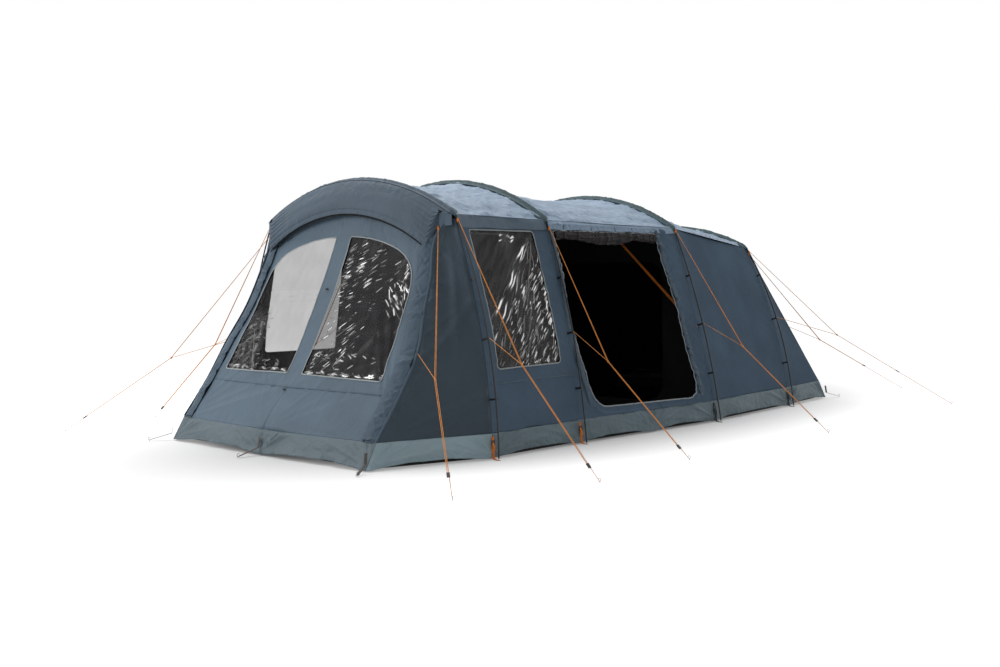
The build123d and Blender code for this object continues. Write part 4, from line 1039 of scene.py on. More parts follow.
def tail_wedge_edges(z):
    """x and y of hoop 4's wall, then x and y of the tail's edge, at each height."""
    return (tail_hoop.wall.x_at(z), tail_hoop.y + TAIL_GAP, *tail_corner(z))


def tail_wedge_folds(seed):
    """Slack, and short ridges along hoop 4."""
    return lambda t, z, far, wide: (slack(far, z, seed, 0.45, 0.004, (1.0, 1.4))
                                    + puckers(z, far, seed + 1, 0.07, 0.06, 0.003, 0.4))


tail_z = np.linspace(BAND_TOP, shoulder_z - 0.012, 90)[:, None]
for side, word, seed in ((1, "right", 660), (-1, "left", 680)):
    wedge(f"tail_wedge_cloth_{word}", side, tail_wedge_edges, tail_wedge_folds(seed), 1.6, 1, wedge_t[:, ::2],
          tail_z, wall_finish, "rear_wedges", (0, 2.2, 0.6))


TAIL_BOW = 0.035  # how far the tail's middle bows out


def tail_panel(rows=90, columns=100):
    """From hoop 4 down to the hem band: the top row is the roof arc and each lower row a bow."""
    t, s = down(rows), over(columns, -1)
    xt, zt = tail_hoop.roof.at(s * tail_hoop.end, SKIN_DROP + 0.0005)
    xc, yc = tail_corner(BAND_TOP)
    xb, yb = s * (xc - PANEL_GAP), yc + TAIL_BOW * (1 - s ** 2)
    y0 = tail_hoop.y + 0.020
    x, y, z = xt + (xb - xt) * t, y0 + (yb - y0) * t, zt + (BAND_TOP - zt) * t
    folds = puckers(s, t, 700, 0.05, 0.10, 0.005, 0.4) + slack(x, z, 701, 0.5, 0.006, (0.8, 1.8))
    held = ease((1 - abs(s)) / 0.04) * ease(t / 0.03) * ease((1 - t) / 0.03)
    return xyz(x, y + folds * held * 0.8, z + folds * held * 0.5)


cloth("tail_cloth", tail_panel(), wall_finish, ["rear_panel"], middle=(0, 2.0, 0.3))

# %% [markdown]
# ## Pole sleeves
#
# Each roof arc runs in a sleeve of darker cloth. The sleeve is sewn down along both edges
# and drawn tight over the pole, so it has a flat skirt each side and a round back, and it
# puckers along both seams. A pale strip along its rear seam is a painted highlight, where
# the seam's edge catches the light.

# %% The line of a pole
ELBOW = 0.042  # each bend takes this much of the roof arc and of the leg
JOINT_SPACING, JOINT_HALF = 0.64, 0.035  # the pole's sections and half the sleeve that joins two


def pole_side(hoop, count=60):
    """The right-hand pole in (x, z) from the crown: roof arc, quadratic bend at the shoulder, leg arc."""
    roof_end = hoop.end - ELBOW / hoop.roof.r
    leg_start = hoop.leg.angle(hoop.shoulder) + ELBOW / hoop.leg.r
    leg_end = hoop.leg.angle((float(hoop.leg.x_at(0.0052)), 0.0052))
    roof = np.stack(hoop.roof.at(np.linspace(0, roof_end, count)), axis=-1)
    t = np.linspace(0, 1, 10)[:, None]
    leg = np.stack(hoop.leg.at(np.linspace(leg_start, leg_end, count)), axis=-1)
    bend = (1 - t) ** 2 * roof[-1] + 2 * t * (1 - t) * np.array(hoop.shoulder) + t ** 2 * leg[0]
    return np.concatenate([roof[:-1], bend, leg[1:]])


def pole_line(hoop):
    """The whole pole from foot to foot: the right-hand half and its mirror image."""
    half = pole_side(hoop)
    return np.concatenate([half[::-1] * (-1, 1), half[1:]])


def offsets(line):
    """At each point of a line in (x, z), the outward direction across it."""
    ahead = np.gradient(line, axis=0)
    ahead /= np.linalg.norm(ahead, axis=1, keepdims=True)
    return np.stack([-ahead[:, 1], ahead[:, 0]], axis=-1)


def pole_tube(hoop, sides=12):
    """Circles across the pole's line, 0.5 mm wider over each 70 mm joint sleeve, with closed ends."""
    line = pole_line(hoop)
    run = distance_run(line)
    at = np.linspace(0, run[-1], 420)
    line, out = sample(line, run, at), sample(offsets(line), run, at)
    out /= np.linalg.norm(out, axis=1, keepdims=True)
    radius = POLE_R + 0.0005 * (abs((at % JOINT_SPACING) - JOINT_SPACING / 2) < JOINT_HALF)
    radius = np.where((at < 1e-6) | (at > run[-1] - 1e-6), 0.0001, radius)[:, None]
    turn = np.linspace(0, 2 * pi, sides, endpoint=False)[None, :]
    x, z = (line[:, k:k + 1] + out[:, k:k + 1] * radius * np.cos(turn) for k in (0, 1))
    return xyz(x, hoop.y + radius * np.sin(turn), z)


for number, hoop in enumerate(hoops, 1):
    mesh = grid_mesh(f"pole_{number}", pole_tube(hoop), closed=True)
    faces_out(mesh, np.array([0, hoop.y, 0.5]))
    piece(f"pole_{number}", mesh, [pole_finish], [f"hoop_{number}"])
    print(f"pole {number}: {distance_run(pole_line(hoop))[-1]:.2f} m from foot to foot")

# %% Sleeves
SKIRT = 0.060  # from the pole to the sleeve's seam
BACK_HALF = 0.0155  # half width of the round back over the pole
SAG_SLOPE = 0.16  # how steeply the sagging roof leaves the sleeve at the crown


def climb(hoop, neighbour, share):
    """How steeply the roof beside a hoop rises to a higher neighbour, less near the crown, where it sags."""
    (x, z), centre = neighbour.skin_shoulder, hoop.roof
    gain = max(neighbour.height - SKIN_DROP - centre.z, hypot(x - centre.x, z - centre.z)) - centre.r
    return max(0.0, (gain + SKIN_DROP) / abs(neighbour.y - hoop.y)) - SAG_SLOPE * (1 - share ** 2)


def sleeve_points(number, rows=260, columns=24):
    """Across the pole's line: two skirts that lie on the roof and a round back over the pole."""
    hoop, seed = hoops[number - 1], 800 + 10 * number
    line = pole_line(hoop)
    run = distance_run(line)
    arc = hoop.end * hoop.roof.r
    reach = arc + 0.030
    along, s = np.linspace(-reach, reach, rows)[:, None], over(columns, -1)
    at = along[:, 0] + run[-1] / 2
    (x0, z0), (ox, oz) = (sample(v, run, at).T[..., None] for v in (line, offsets(line)))
    skirt = SKIRT - 0.040 * ease((abs(along) - reach + SKIRT) / 0.055)
    y = s * skirt * np.where((s < 0) & (number == 1), 0.75, 1.0)
    share = np.clip(along / arc, -1, 1)
    ahead = climb(hoop, hoops[number - 2], share) if number > 1 else 0.0
    behind = climb(hoop, hoops[number], share) if number < len(hoops) else 0.0
    base = -SKIN_DROP + 0.0042 + np.where(s < 0, ahead, behind) * abs(y)
    rise = (POLE_R + 0.003 - base) * np.exp(-(abs(y) / BACK_HALF) ** 2.6)
    folds = puckers(along, abs(s) * SKIRT, seed, 0.035, 0.06, 0.0050, 0.9)
    folds += slack(along, 4 * y, seed + 1, 0.12, 0.0012)
    lift = base + rise + folds * ease((1 - abs(s)) / 0.2) * 0.7 * ease((reach - abs(along)) / 0.02)
    return xyz(x0 + ox * lift, hoop.y + y, z0 + oz * lift)


for number, hoop in enumerate(hoops, 1):
    cloth(f"sleeve_cloth_{number}", sleeve_points(number), hood_finish if number == 1 else sleeve_finish,
          ["pole_sleeves"], slot="sleeve_cloth", middle=(0, hoop.y, 0.5), lining=sleeve_finish)

# %% [markdown]
# ## Rain hood
#
# The hood is a stiff arched visor that keeps rain off the front zips. It is sewn to the
# front sleeve and pulled out to the two front guylines, so long folds run across it from
# corner to corner and gather where the guylines pull.

# %% Hood
HOOD_LOW, HOOD_CORNER, HOOD_TOP = (0.900, 1.468), (0.962, 1.611), 1.728
ARCH_SHARE = 0.88  # of the lower edge; the rest rises straight to the corners
hood_y, hood_corner_y = hoops[0].y - 0.140, hoops[0].y - 0.069
arch = Arc((-HOOD_LOW[0], HOOD_LOW[1]), (0, 1.732), HOOD_LOW)
arch_end = arch.angle(HOOD_LOW)


def hood_edge(s):
    """The hood's lower edge for s from -1 to 1: the arch, then a short straight rise to each corner."""
    x, z = arch.at(np.clip(s / ARCH_SHARE, -1, 1) * arch_end)
    past = np.clip((abs(s) - ARCH_SHARE) / (1 - ARCH_SHARE), 0, 1)
    return (x + np.sign(s) * (HOOD_CORNER[0] - HOOD_LOW[0]) * past, hood_y + (hood_corner_y - hood_y) * past,
            z + (HOOD_CORNER[1] - HOOD_LOW[1]) * past)


def hood_points(rows=80, columns=300):
    """Along t, a straight run from the sleeve to the lower edge, pushed out to a fold at its middle.
    Towards each corner the fold closes into the upright edge that the guyline pulls on."""
    hoop = hoops[0]
    s, t = over(columns, -1), down(rows)
    xt, zt = hoop.roof.at(s * hoop.end, SKIN_DROP)
    xb, yb, zb = hood_edge(s)
    yt = hoop.y - 0.0453
    near_end = ease((abs(s) - 0.90) / 0.10)
    fold_at = 0.5 + (0.30 - 0.5) * near_end
    belly = 0.026 * (1 - near_end) * np.sin(pi * t)
    pull = near_end * np.where(t < fold_at, t / fold_at, (1 - t) / (1 - fold_at))
    x = xt + (xb - xt) * t + pull * (np.sign(s) * HOOD_CORNER[0] - (xt + (xb - xt) * fold_at))
    y = yt + (yb - yt) * t + pull * (hood_corner_y - (yt + (yb - yt) * fold_at)) - belly * 0.9
    z = zt + (zb - zt) * t + pull * (HOOD_TOP - (zt + (zb - zt) * fold_at)) + belly * 0.5
    across, high = s * 1.12, (1 - t) * 0.30
    folds = slack(across, high, 850, 0.20, 0.0040, (5.0, 0.7), 20)
    long_folds = np.sin(high * 170 + 4 * across + 1.5 * np.sin(5 * across))
    folds += 0.0045 * long_folds * ease((abs(s) - 0.55) / 0.3) * ease(t / 0.3)
    folds += puckers(across, 0.30 - high, 852, 0.040, 0.06, 0.0055, 0.7)
    folds += puckers(across, high, 853, 0.030, 0.045, 0.0060, 0.6)
    folds += -0.0045 * bell(high, 0.034, 0.006)
    held = ease(t / 0.06) * ease((1 - t) / 0.012) * ease((1 - abs(s)) / 0.02)
    return xyz(x, y - folds * held * 0.9, z - folds * held * 0.3)


def hood_gusset(side, hood, rows=80, columns=20):
    """From the hood's own end column back to the sleeve's end, with soft folds at the lower edge."""
    edge = hood[:, -1] if side > 0 else hood[:, 0]
    x0, z0 = hoops[0].roof.at(hoops[0].end, SKIN_DROP)
    t, s = down(rows), over(columns)
    back = xyz(side * (x0 + 0.010 + 0.004 * t), hoops[0].y - 0.030, z0 - 0.004 - 0.075 * t)
    points = edge[:, None] * (1 - s[..., None]) + back * s[..., None]
    points[..., 0] += side * (0.010 * np.sin(2 * pi * s + 1.5 * t) * t * np.sin(pi * s))
    return points


hood = hood_points()
cloth("hood_cloth", hood, hood_finish, ["rain_hood"], slot="hood_cloth", middle=(0, -1.6, 1.2))
for side, word in SIDES:
    cloth(f"hood_gusset_{word}", hood_gusset(side, hood), front_finish, ["rain_hood"], slot="hood_cloth",
          middle=(0, -2.1, 1.6), held=None)

# %% [markdown]
# ## Hem band
#
# A band of paler cloth runs round the foot of the tent. Its lower edge is pulled down to
# the pegs and lifts a little between them, and short folds fan out from each peg point.

# %% Band
def band(name, top_line, foot_line, seed, pegs, columns=200, rows=20, lift_between=0.022, finish=band_finish):
    """top_line and foot_line give (x, y) for a share from 0 to 1; pegs are the shares that are held down."""
    s, t = over(columns), down(rows)
    (xt, yt), (xb, yb) = top_line(s), foot_line(s)
    long = float(np.hypot(xb[0, -1] - xb[0, 0], yb[0, -1] - yb[0, 0]))
    near = np.min([abs(s - peg) for peg in pegs], axis=0) * long
    foot = 0.012 + lift_between * ease(near / 0.35) - 0.004 * np.exp(-near / 0.05)
    x, y = xt + (xb - xt) * t, yt + (yb - yt) * t
    z = (BAND_TOP - 0.0003) + (foot - BAND_TOP) * t
    across = s * long
    folds = slack(across, z, seed, 0.20, 0.008, (1.6, 0.8), 16) * t
    folds = folds + crinkle(across, 2 * z, seed + 30, 0.15, 0.004) * t
    for k, peg in enumerate(pegs):
        folds = folds + fan(across - peg * long, z, (0.0, 0.03), seed + 1 + k, 12, 0.20, 0.012,
                            (0.10, pi - 0.10))
    folds += puckers(across, t * 0.12, seed + 20, 0.05, 0.05, 0.002, 0.6)
    held = ease(t / 0.15) * ease(s / 0.02) * ease((1 - s) / 0.02)
    dx, dy = xb[0, -1] - xb[0, 0], yb[0, -1] - yb[0, 0]
    push = folds * held / hypot(dx, dy)
    cloth(name, xyz(x + dy * push, y - dx * push, z), finish, ["hem_band"], slot="band_cloth",
          middle=(0, 0, 0.1), thick=0.002)


# each line gives (x, y) at a height for a share s of the way along one side of the tent
def wall_line(front, rear, side, z):
    a, b = front.wall.x_at(z), rear.wall.x_at(z)
    return lambda s: (side * (a + (b - a) * s), front.y + 0.0004 + (rear.y - front.y - 0.0008) * s)


def front_line(z):
    half = float(smooth_table(z, 1)) - PANEL_GAP
    return lambda s: (half * (2 * s - 1), front_depth(half * (2 * s - 1), z + 0 * s))


def corner_line(side, z):
    xc, yc = float(smooth_table(z, 1)), hoops[0].y + float(smooth_table(z, 2))
    xh, yh = float(hoops[0].wall.x_at(z)), hoops[0].y - PANEL_GAP
    return lambda s: (side * (xc + (xh - xc) * s), yc + (yh - yc) * s)


def tail_side_line(side, z):
    xh, yh, xc, yc = tail_wedge_edges(z)
    return lambda s: (side * (xh + (xc - xh) * s), yh + (yc - yh) * s)


def tail_line(z):
    xc, yc = tail_corner(z)
    return lambda s: ((xc - PANEL_GAP) * (1 - 2 * s), yc + TAIL_BOW * (1 - (1 - 2 * s) ** 2))


ENDS, ENDS_AND_MIDDLE = [0.0, 1.0], [0.0, 0.5, 1.0]
band("front_band_cloth", front_line(BAND_TOP), front_line(HEM), 900, ENDS_AND_MIDDLE, 260,
     finish=front_band_finish)
band("tail_band_cloth", tail_line(BAND_TOP), tail_line(HEM), 930, ENDS, 200)
for side, word in SIDES:
    band(f"corner_band_cloth_{word}", corner_line(side, BAND_TOP), corner_line(side, HEM), 940 + side, ENDS,
         160, finish=corner_band_finish)
    band(f"tail_side_band_cloth_{word}", tail_side_line(side, BAND_TOP), tail_side_line(side, HEM),
         950 + side, ENDS, 120)
    for number, (front, rear) in enumerate(zip(hoops, hoops[1:]), 1):
        pegs, columns = (ENDS_AND_MIDDLE, 180) if number == 2 else (ENDS, 130)
        band(f"side_band_cloth_{number}_{word}", wall_line(front, rear, side, BAND_TOP),
             wall_line(front, rear, side, HEM), 960 + 10 * number + side, pegs, columns)

# %% [markdown]
# ## Groundsheet
#
# A tray of black woven polyethylene. Its floor lies on the ground with a few flat creases,
# and its edge turns up inside the hem, so that a dark line shows under the pale band: partly
# the tray's own black, and partly painted shadow under the band where it lifts between pegs.

# %% Groundsheet
def tray_outline():
    """The tray's edge in (x, y), inside the hem all round."""
    inset = 0.015
    side = [(FRONT_HALF - inset - 0.016, front_y + inset + 0.070)]
    side += [(h.half_width - LEG_GAP - inset - 0.030, h.y) for h in hoops]
    side += [(REAR_HALF - inset - 0.048, rear_y - inset - 0.048)]
    corners = side + [(-x, y) for x, y in reversed(side)]
    return rounded(corners, [0.05] * len(corners), 6)


def groundsheet_points(count=200):
    """Ever larger copies of the outline: 40 on the ground, faintly creased, then five up the edge."""
    outline, centre = tray_outline(), np.array([0.0, 0.0])
    angles = ray_angles(centre, [outline], count)
    far = reach_of(outline, centre, angles)
    share = np.concatenate([np.linspace(0.0, 0.985, 40), [0.995, 1.0, 1.004, 1.008, 1.010]])[:, None]
    up = np.concatenate([np.zeros(40), [0.004, 0.020, 0.045, 0.075, 0.096]])[:, None]
    x, y = share * far * np.cos(angles), share * far * np.sin(angles)
    creases = 0.0012 * bell(np.sin(3.1 * x), -0.02, 0.03) + 0.0012 * bell(np.sin(2.3 * y + 0.5), 0, 0.03)
    wobble = slack(x, y, 990, 0.12, 0.003) * ease(up / 0.05)
    return xyz(x * (1 + wobble * 0.4), y * (1 + wobble * 0.2), 0.0022 + up + creases * (up == 0))


# the tray's black edge under the band is partly its own colour and partly painted shadow
cloth("groundsheet_cloth", groundsheet_points(), ground_finish, ["groundsheet"], slot="ground_cloth",
      closed=True, middle=(0, 0, 5), thick=0.0010, held="laid", lining=ground_finish, flat=(2.75, 5.9))

# %% [markdown]
# ## Inner room
#
# Behind hoop 3 a dark inner room hangs from the hoops. It is a closed room with a doorway in
# its front, and it hangs slack, so its walls belly a little.

# %% Inner room
def room_section(y, foot, shoulder, top, columns):
    """A section across the room: up one side, over a low arc and down the other side."""
    (fx, fz), (sx, sz) = foot, shoulder
    crown = Arc((-sx, sz), (0, top), (sx, sz))
    end = crown.angle((sx, sz))
    wall = np.linspace(0, 1, columns)
    turn = np.linspace(end, -end, columns)
    xc, zc = crown.at(turn)
    belly = 0.02 * np.sin(pi * wall)
    x = np.concatenate([fx + (sx - fx) * wall - belly, xc[1:-1], -(sx + (fx - sx) * wall - belly)])
    z = np.concatenate([fz + (sz - fz) * wall, zc[1:-1], sz + (fz - sz) * wall])
    return np.stack([x, np.full_like(x, y), z], axis=-1)


def inside(hoop, behind, drop):
    """The room's section near a hoop: its place behind it, and foot, shoulder and top inside the hoop's."""
    (x, z), foot = hoop.shoulder, (hoop.half_width - 0.240, 0.006)
    return hoop.y + behind, foot, (x - 0.125, z - 0.195), hoop.height - drop


room_ends = [inside(hoops[2], 0.093, 0.237), inside(hoops[3], -0.030, 0.197),
             (hoops[3].y + 0.545, (1.095, 0.006), (0.945, 0.452), 0.497)]
room_rows = [room_section(*end, 30) for end in room_ends]
room_share = down(30)[..., None]
room = np.concatenate([room_rows[0] * (1 - room_share) + room_rows[1] * room_share,
                       (room_rows[1] * (1 - room_share) + room_rows[2] * room_share)[1:]])
billows = slack(room[..., 1], room[..., 0] + room[..., 2], 995, 0.35, 0.006)[..., None]
room = room + billows * (0.6, 0, 0.4) * ease(room[..., 2:] / 0.1)
cloth("inner_room_cloth", room, lining_finish, ["inner_tent"], slot="inner_cloth", middle=(0, 1.8, 0.5))

doorway = rounded([(-0.85, 0.12), (0.85, 0.12), (0.85, 1.36), (-0.85, 1.36)], [0.18] * 4)
face_edge = room_rows[0][:, [0, 2]]
face = ring(doorway, face_edge, np.array([0.0, 0.75]), 12, 200)
face_depth = hoops[2].y + 0.092 + slack(face[..., 0], face[..., 1], 996, 0.4, 0.006)
cloth("inner_room_front", shut(xyz(face[..., 0], face_depth, face[..., 1])), lining_finish, ["inner_tent"],
      slot="inner_cloth", closed=True, uv=shut(face), middle=(0, 2.0, 0.7), flat=(2.7, 1.8))

# %% [markdown]
# ## Tapes, flaps and straps
#
# Seams, window piping, zip flaps, webbing and the inner straps are all strips that follow a
# line. A strip is worked out from its line and the surface's outward direction: its width
# runs across both, and its crown stands a little proud in the middle.

# %% Strips along a line
def along_line(points, count):
    """The line again with evenly spaced points."""
    points = np.asarray(points, float)
    run = distance_run(points)
    return sample(points, run, np.linspace(0, run[-1], count))


def strip(name, line, out, width, finish, node, slot, crown=0.0, lift=0.001, thick=0.0014, waves=None,
          columns=5, count=160, held=None):
    """A strip along a line; out is the way that its face looks, one for each point or one for all."""
    line, out = along_line(line, count), np.atleast_2d(np.asarray(out, float))
    out = sample(out, np.linspace(0, 1, len(out)), np.linspace(0, 1, count))
    ahead = np.gradient(line, axis=0)
    ahead /= np.maximum(np.linalg.norm(ahead, axis=1, keepdims=True), 1e-9)
    across = np.cross(ahead, out)
    across /= np.maximum(np.linalg.norm(across, axis=1, keepdims=True), 1e-9)
    face = np.cross(across, ahead)
    s = over(columns, -1)[..., None]
    rise = lift + crown * (1 - s ** 2)
    if waves is not None:
        rise = rise + waves(distance_run(line)[:, None], s[..., 0] * width / 2)[..., None]
    points = line[:, None] + across[:, None] * s * width / 2 + face[:, None] * rise
    middle = points.reshape(-1, 3).mean(0) - face.mean(0) * 2
    cloth(name, points, finish, [node], slot=slot, middle=middle, thick=thick, lining=finish, held=held)


def outline_line(surface, outline):
    """A closed outline but for its last thousandth, lifted a millimetre off a surface."""
    outline = np.concatenate([outline, outline[:1]])
    run = distance_run(outline)
    flat = sample(outline, run, np.linspace(0, 0.999, 240) % 1.0 * run[-1])
    return surface(flat[:, 0], flat[:, 1], 0.001)


# %% Tapes, inner straps, a painted highlight on the sleeves' rims and a painted shadow under the hood
# a pale strip on the rear edge of the first three sleeves: painted highlight where the edge catches the light
rim_highlight_finish = tent_cloth("sleeve_rim_painted_highlight", "#93a9af", crease=0.3)
for number, hoop in enumerate(hoops[:3], 1):
    rim = sleeve_points(number)[:, -1]
    strip(f"sleeve_rim_{number}", rim, rim - (hoop.roof.x, hoop.y, hoop.roof.z), 0.009, rim_highlight_finish,
          "pole_sleeves", "sleeve_cloth", crown=0.002, lift=0.002, count=300)
# a black strip under the hood's lower edge: painted shadow for the gap between the hood and the front
hood_shadow_finish = tent_cloth("hood_painted_shadow_strip", "#0d0f11", crease=0.2, specular=0.1)
hood_shadow_line = xyz(*hood_edge(np.linspace(-ARCH_SHARE, ARCH_SHARE, 200))) + (0, 0.006, -0.007)
strip("hood_painted_shadow_strip", hood_shadow_line, (0, -1, 0.2), 0.016, hood_shadow_finish, "rain_hood", "hood_cloth", count=260)
tape_finish = tent_cloth("seam_tape", "#566979", crease=0.4)
piping_finish = tent_cloth("grey_piping", "#b4babc", crease=0.2)
flap_finish = tent_cloth("zip_flap_polyester", "#536574", crease=0.7)
STRAP_FOOT = 0.80  # where the inner straps meet the wall
strap_y = hoops[2].y - 0.0130
strap_top = (0.018, strap_y, hoops[2].roof.z_at(0, SKIN_DROP + 0.006))
strap_foot = (float(hoops[2].wall.x_at(STRAP_FOOT)) - 0.006, strap_y, STRAP_FOOT)
for side, word in SIDES:
    strip(f"inner_strap_{word}", np.array([strap_top, strap_foot]) * (side, 1, 1), (0, -1, 0), 0.024,
          orange_webbing, "brace_straps", "brace_webbing")

# %% Window and door edges
for side, word in SIDES:
    strip(f"side_window_piping_{word}", outline_line(window_wall[side], side_window),
          (side, 0, 0.25), 0.010, piping_finish, f"wall_1_{word}", "webbing", crown=0.002, count=420)
    strip(f"window_seam_tape_{word}", window_wall[side](np.linspace(-2.03, -1.09, 60), SIDE_SEAM, 0.001),
          (side, 0, 0.25), 0.012, tape_finish, f"wall_1_{word}", "wall_cloth", crown=0.001)
    strip(f"front_window_piping_{word}", outline_line(front_surface, front_window[side]),
          (0, -1, 0.6), 0.010, piping_finish, "front_panel", "webbing", crown=0.002, count=460)
strip("front_seam_tape", front_surface(np.linspace(-1.08, 1.08, 80), FRONT_SEAM, 0.001), (0, -1, 0.8), 0.012,
      tape_finish, "front_panel", "front_cloth", crown=0.001, count=220)
strip("door_piping", outline_line(door_wall, side_door), (1, 0, 0.25), 0.010, piping_finish,
      "wall_2_right", "webbing", crown=0.002, count=520)

# %% Zip flaps
def flap_waves(seed, height):
    """Puckers that open from a seam 20 mm off the flap's middle line."""
    return lambda run, across: puckers(run, abs(across - 0.02), seed, 0.035, 0.06, height, 0.8)


door_rear = door_wall(np.linspace(0.405, 0.515, 60), np.linspace(1.630, 0.230, 60), 0.003)
strip("door_rear_flap", door_rear, (1, 0, 0.25), 0.060, flap_finish, "wall_2_right", "wall_cloth",
      crown=0.006, waves=flap_waves(1010, 0.012), columns=15, count=260, held="stretched")
door_front = door_wall(np.array([-1.030, -1.034, -1.030, -0.995, -0.905]),
                       np.array([1.600, 1.20, 0.86, 0.62, 0.26]), 0.003)
strip("door_front_flap", door_front, (1, 0, 0.25), 0.045, flap_finish, "wall_2_right", "wall_cloth",
      crown=0.005, waves=flap_waves(1020, 0.008), columns=13, count=260, held="stretched")

# the puckered flap beside each curved zip of the front, and the tape on the front's edge
zip_z = np.linspace(0.185, 1.560, 90)
zip_half = smooth_table(zip_z, 1)
for side, word in SIDES:
    strip(f"front_zip_flap_{word}", front_surface(side * (zip_half - PANEL_GAP) * 0.935, zip_z, 0.004),
          (side * 0.25, -1, 0.6), 0.130, flap_finish, "front_panel", "front_cloth", crown=0.012,
          waves=flap_waves(1030 + side, 0.014), columns=15, count=240, held="stretched")
    strip(f"front_corner_tape_{word}", front_surface(side * (zip_half - 0.004), zip_z, 0.004),
          (side * 0.9, -1, 0.4), 0.020, flap_finish, "front_panel", "front_cloth", crown=0.004, count=200)

# %% [markdown]
# ## Rolled door
#
# The side door's cloth and its dark midge mesh are rolled up together and held under the head
# of the opening by two toggles. The roll is pinched at each toggle and hangs fuller between
# them, and its layers wrinkle as they turn.

# %% Door roll
def door_roll(rows=170, columns=48):
    """Rings round a level line, fuller between the toggles, wrinkled by sine waves that wind round it."""
    y = np.linspace(-0.985, 0.372, rows)[:, None]
    turn = np.linspace(0, 2 * pi, columns, endpoint=False)[None, :]
    wall_x = door_wall(y, 1.567)[..., 0]
    toggles = (-0.716, 0.112)
    near = np.minimum(abs(y - toggles[0]), abs(y - toggles[1]))
    between = (y > toggles[0]) & (y < toggles[1])
    half = 0.030 + 0.016 * ease(near / 0.30) * np.where(between, 1.0, 0.3)
    half = half + slack(y, 0 * y, 1100, 0.30, 0.004)
    wrinkles = 0.0035 * np.sin(5 * turn + 9 * y + 2 * np.sin(7 * y)) + 0.003 * np.sin(9 * turn - 17 * y)
    wrinkles = wrinkles + slack(y, turn * 0.04, 1101, 0.06, 0.004) * np.sin(turn / 2)
    x = wall_x - 0.014 + (0.026 + wrinkles) * np.cos(turn)
    return xyz(x, y, 1.600 - half + (half + wrinkles) * np.sin(turn))


cloth("door_roll_cloth", shut(door_roll()), mesh_finish, ["rolled_door"], middle=(1.05, -0.3, 1.57),
      lining=mesh_finish, held="folded", flat=(1.40, 0.26))

# %% [markdown]
# ## Guylines
#
# Each of the twelve guylines starts at a sleeve's end, runs taut to a junction, meets a
# short branch from lower down, and goes on doubled to a runner. One strand then goes on to
# the peg. A line is one smooth curve with control points close to each corner, so that it
# stays straight between them, and a round profile of half its diameter.

# %% Knots and toggles
def ball(name, centre, radii, finish, node):
    """An ellipsoid: level by level from the bottom to the top, a circle of points at each."""
    level = np.linspace(-1.5, 1.5, 11)[:, None]
    turn = np.linspace(0, 2 * pi, 16, endpoint=False)[None, :]
    shape = xyz(np.cos(level) * np.cos(turn), np.cos(level) * np.sin(turn), np.sin(level))
    mesh = grid_mesh(name, np.asarray(centre) + shape * np.asarray(radii), closed=True)
    faces_out(mesh, np.asarray(centre, float))
    piece(name, mesh, [finish], [node])


for number, (x, z) in enumerate([(0.0, 0.452), (-1.02, 0.472), (0.0, 1.170)], 1):
    ball(f"front_toggle_{number}", front_surface(np.array(x), np.array(z), 0.010), (0.016, 0.007, 0.008),
         clip_finish, "front_panel")

# %% Guyline routes
guys = {  # tie, branch, junction, peg, and the runner's share of the way down
    "a": ((0.9642, -2.1212, 1.6100), (1.1207, -2.478, 0.741), (1.536, -2.720, 0.607), (2.250, -3.290, 0.0), 0.80),
    "b": ((1.0871, -2.0500, 1.6643), (1.3817, -2.050, 0.8377), (1.766, -2.146, 0.678), (2.527, -2.290, 0.0), 0.86),
    "c": ((1.0878, -1.0660, 1.6247), (1.3281, -1.066, 0.8376), (1.686, -1.115, 0.634), (2.454, -1.203, 0.0), 0.87),
    "d": ((1.0550, 0.6720, 1.6408), (1.3453, 0.672, 0.8382), (1.744, 0.651, 0.654), (2.544, 0.620, 0.0), 0.85),
    "e": ((0.9468, 2.0790, 1.4661), (1.2533, 2.079, 0.8390), (1.652, 2.503, 0.666), (2.494, 3.201, 0.0), 0.52),
    "f": ((0.9166, 2.1217, 1.4400), (1.1152, 2.5578, 0.7250), (1.239, 2.950, 0.585), (1.487, 4.361, 0.0), 0.51)}
TWIN_GAP = 0.008  # between the doubled strands
PEG_END = 0.008  # how far a line's end lies past the peg point
KNOT_REACH = 0.02  # extra control points stand this far from each corner


def cord_curve(name, points, finish, node):
    """A NURBS curve of order 3 through a route's control points, with extra ones close to each corner."""
    points = [np.asarray(p, float) for p in points]
    route = [points[0]]
    for before, corner, after in zip(points, points[1:], points[2:]):
        close = [corner + way / np.linalg.norm(way) * min(KNOT_REACH, 0.45 * np.linalg.norm(way))
                 for way in (before - corner, after - corner)]
        route += [close[0], corner, close[1]]
    route.append(points[-1])
    curve = bpy.data.curves.new(name, "CURVE")
    curve.dimensions = "3D"
    spline = curve.splines.new("NURBS")
    spline.points.add(len(route) - 1)
    spline.points.foreach_set("co", np.array([(*p, 1.0) for p in route], np.float32).ravel())
    spline.order_u = 3
    spline.use_endpoint_u = True
    spline.resolution_u = 6
    curve.bevel_depth = CORD_R
    curve.bevel_resolution = 2
    curve.use_fill_caps = True
    line = piece(name, curve, [finish], [node])
    long = sum(np.linalg.norm(b - a) for a, b in zip(route, route[1:]))
    return long


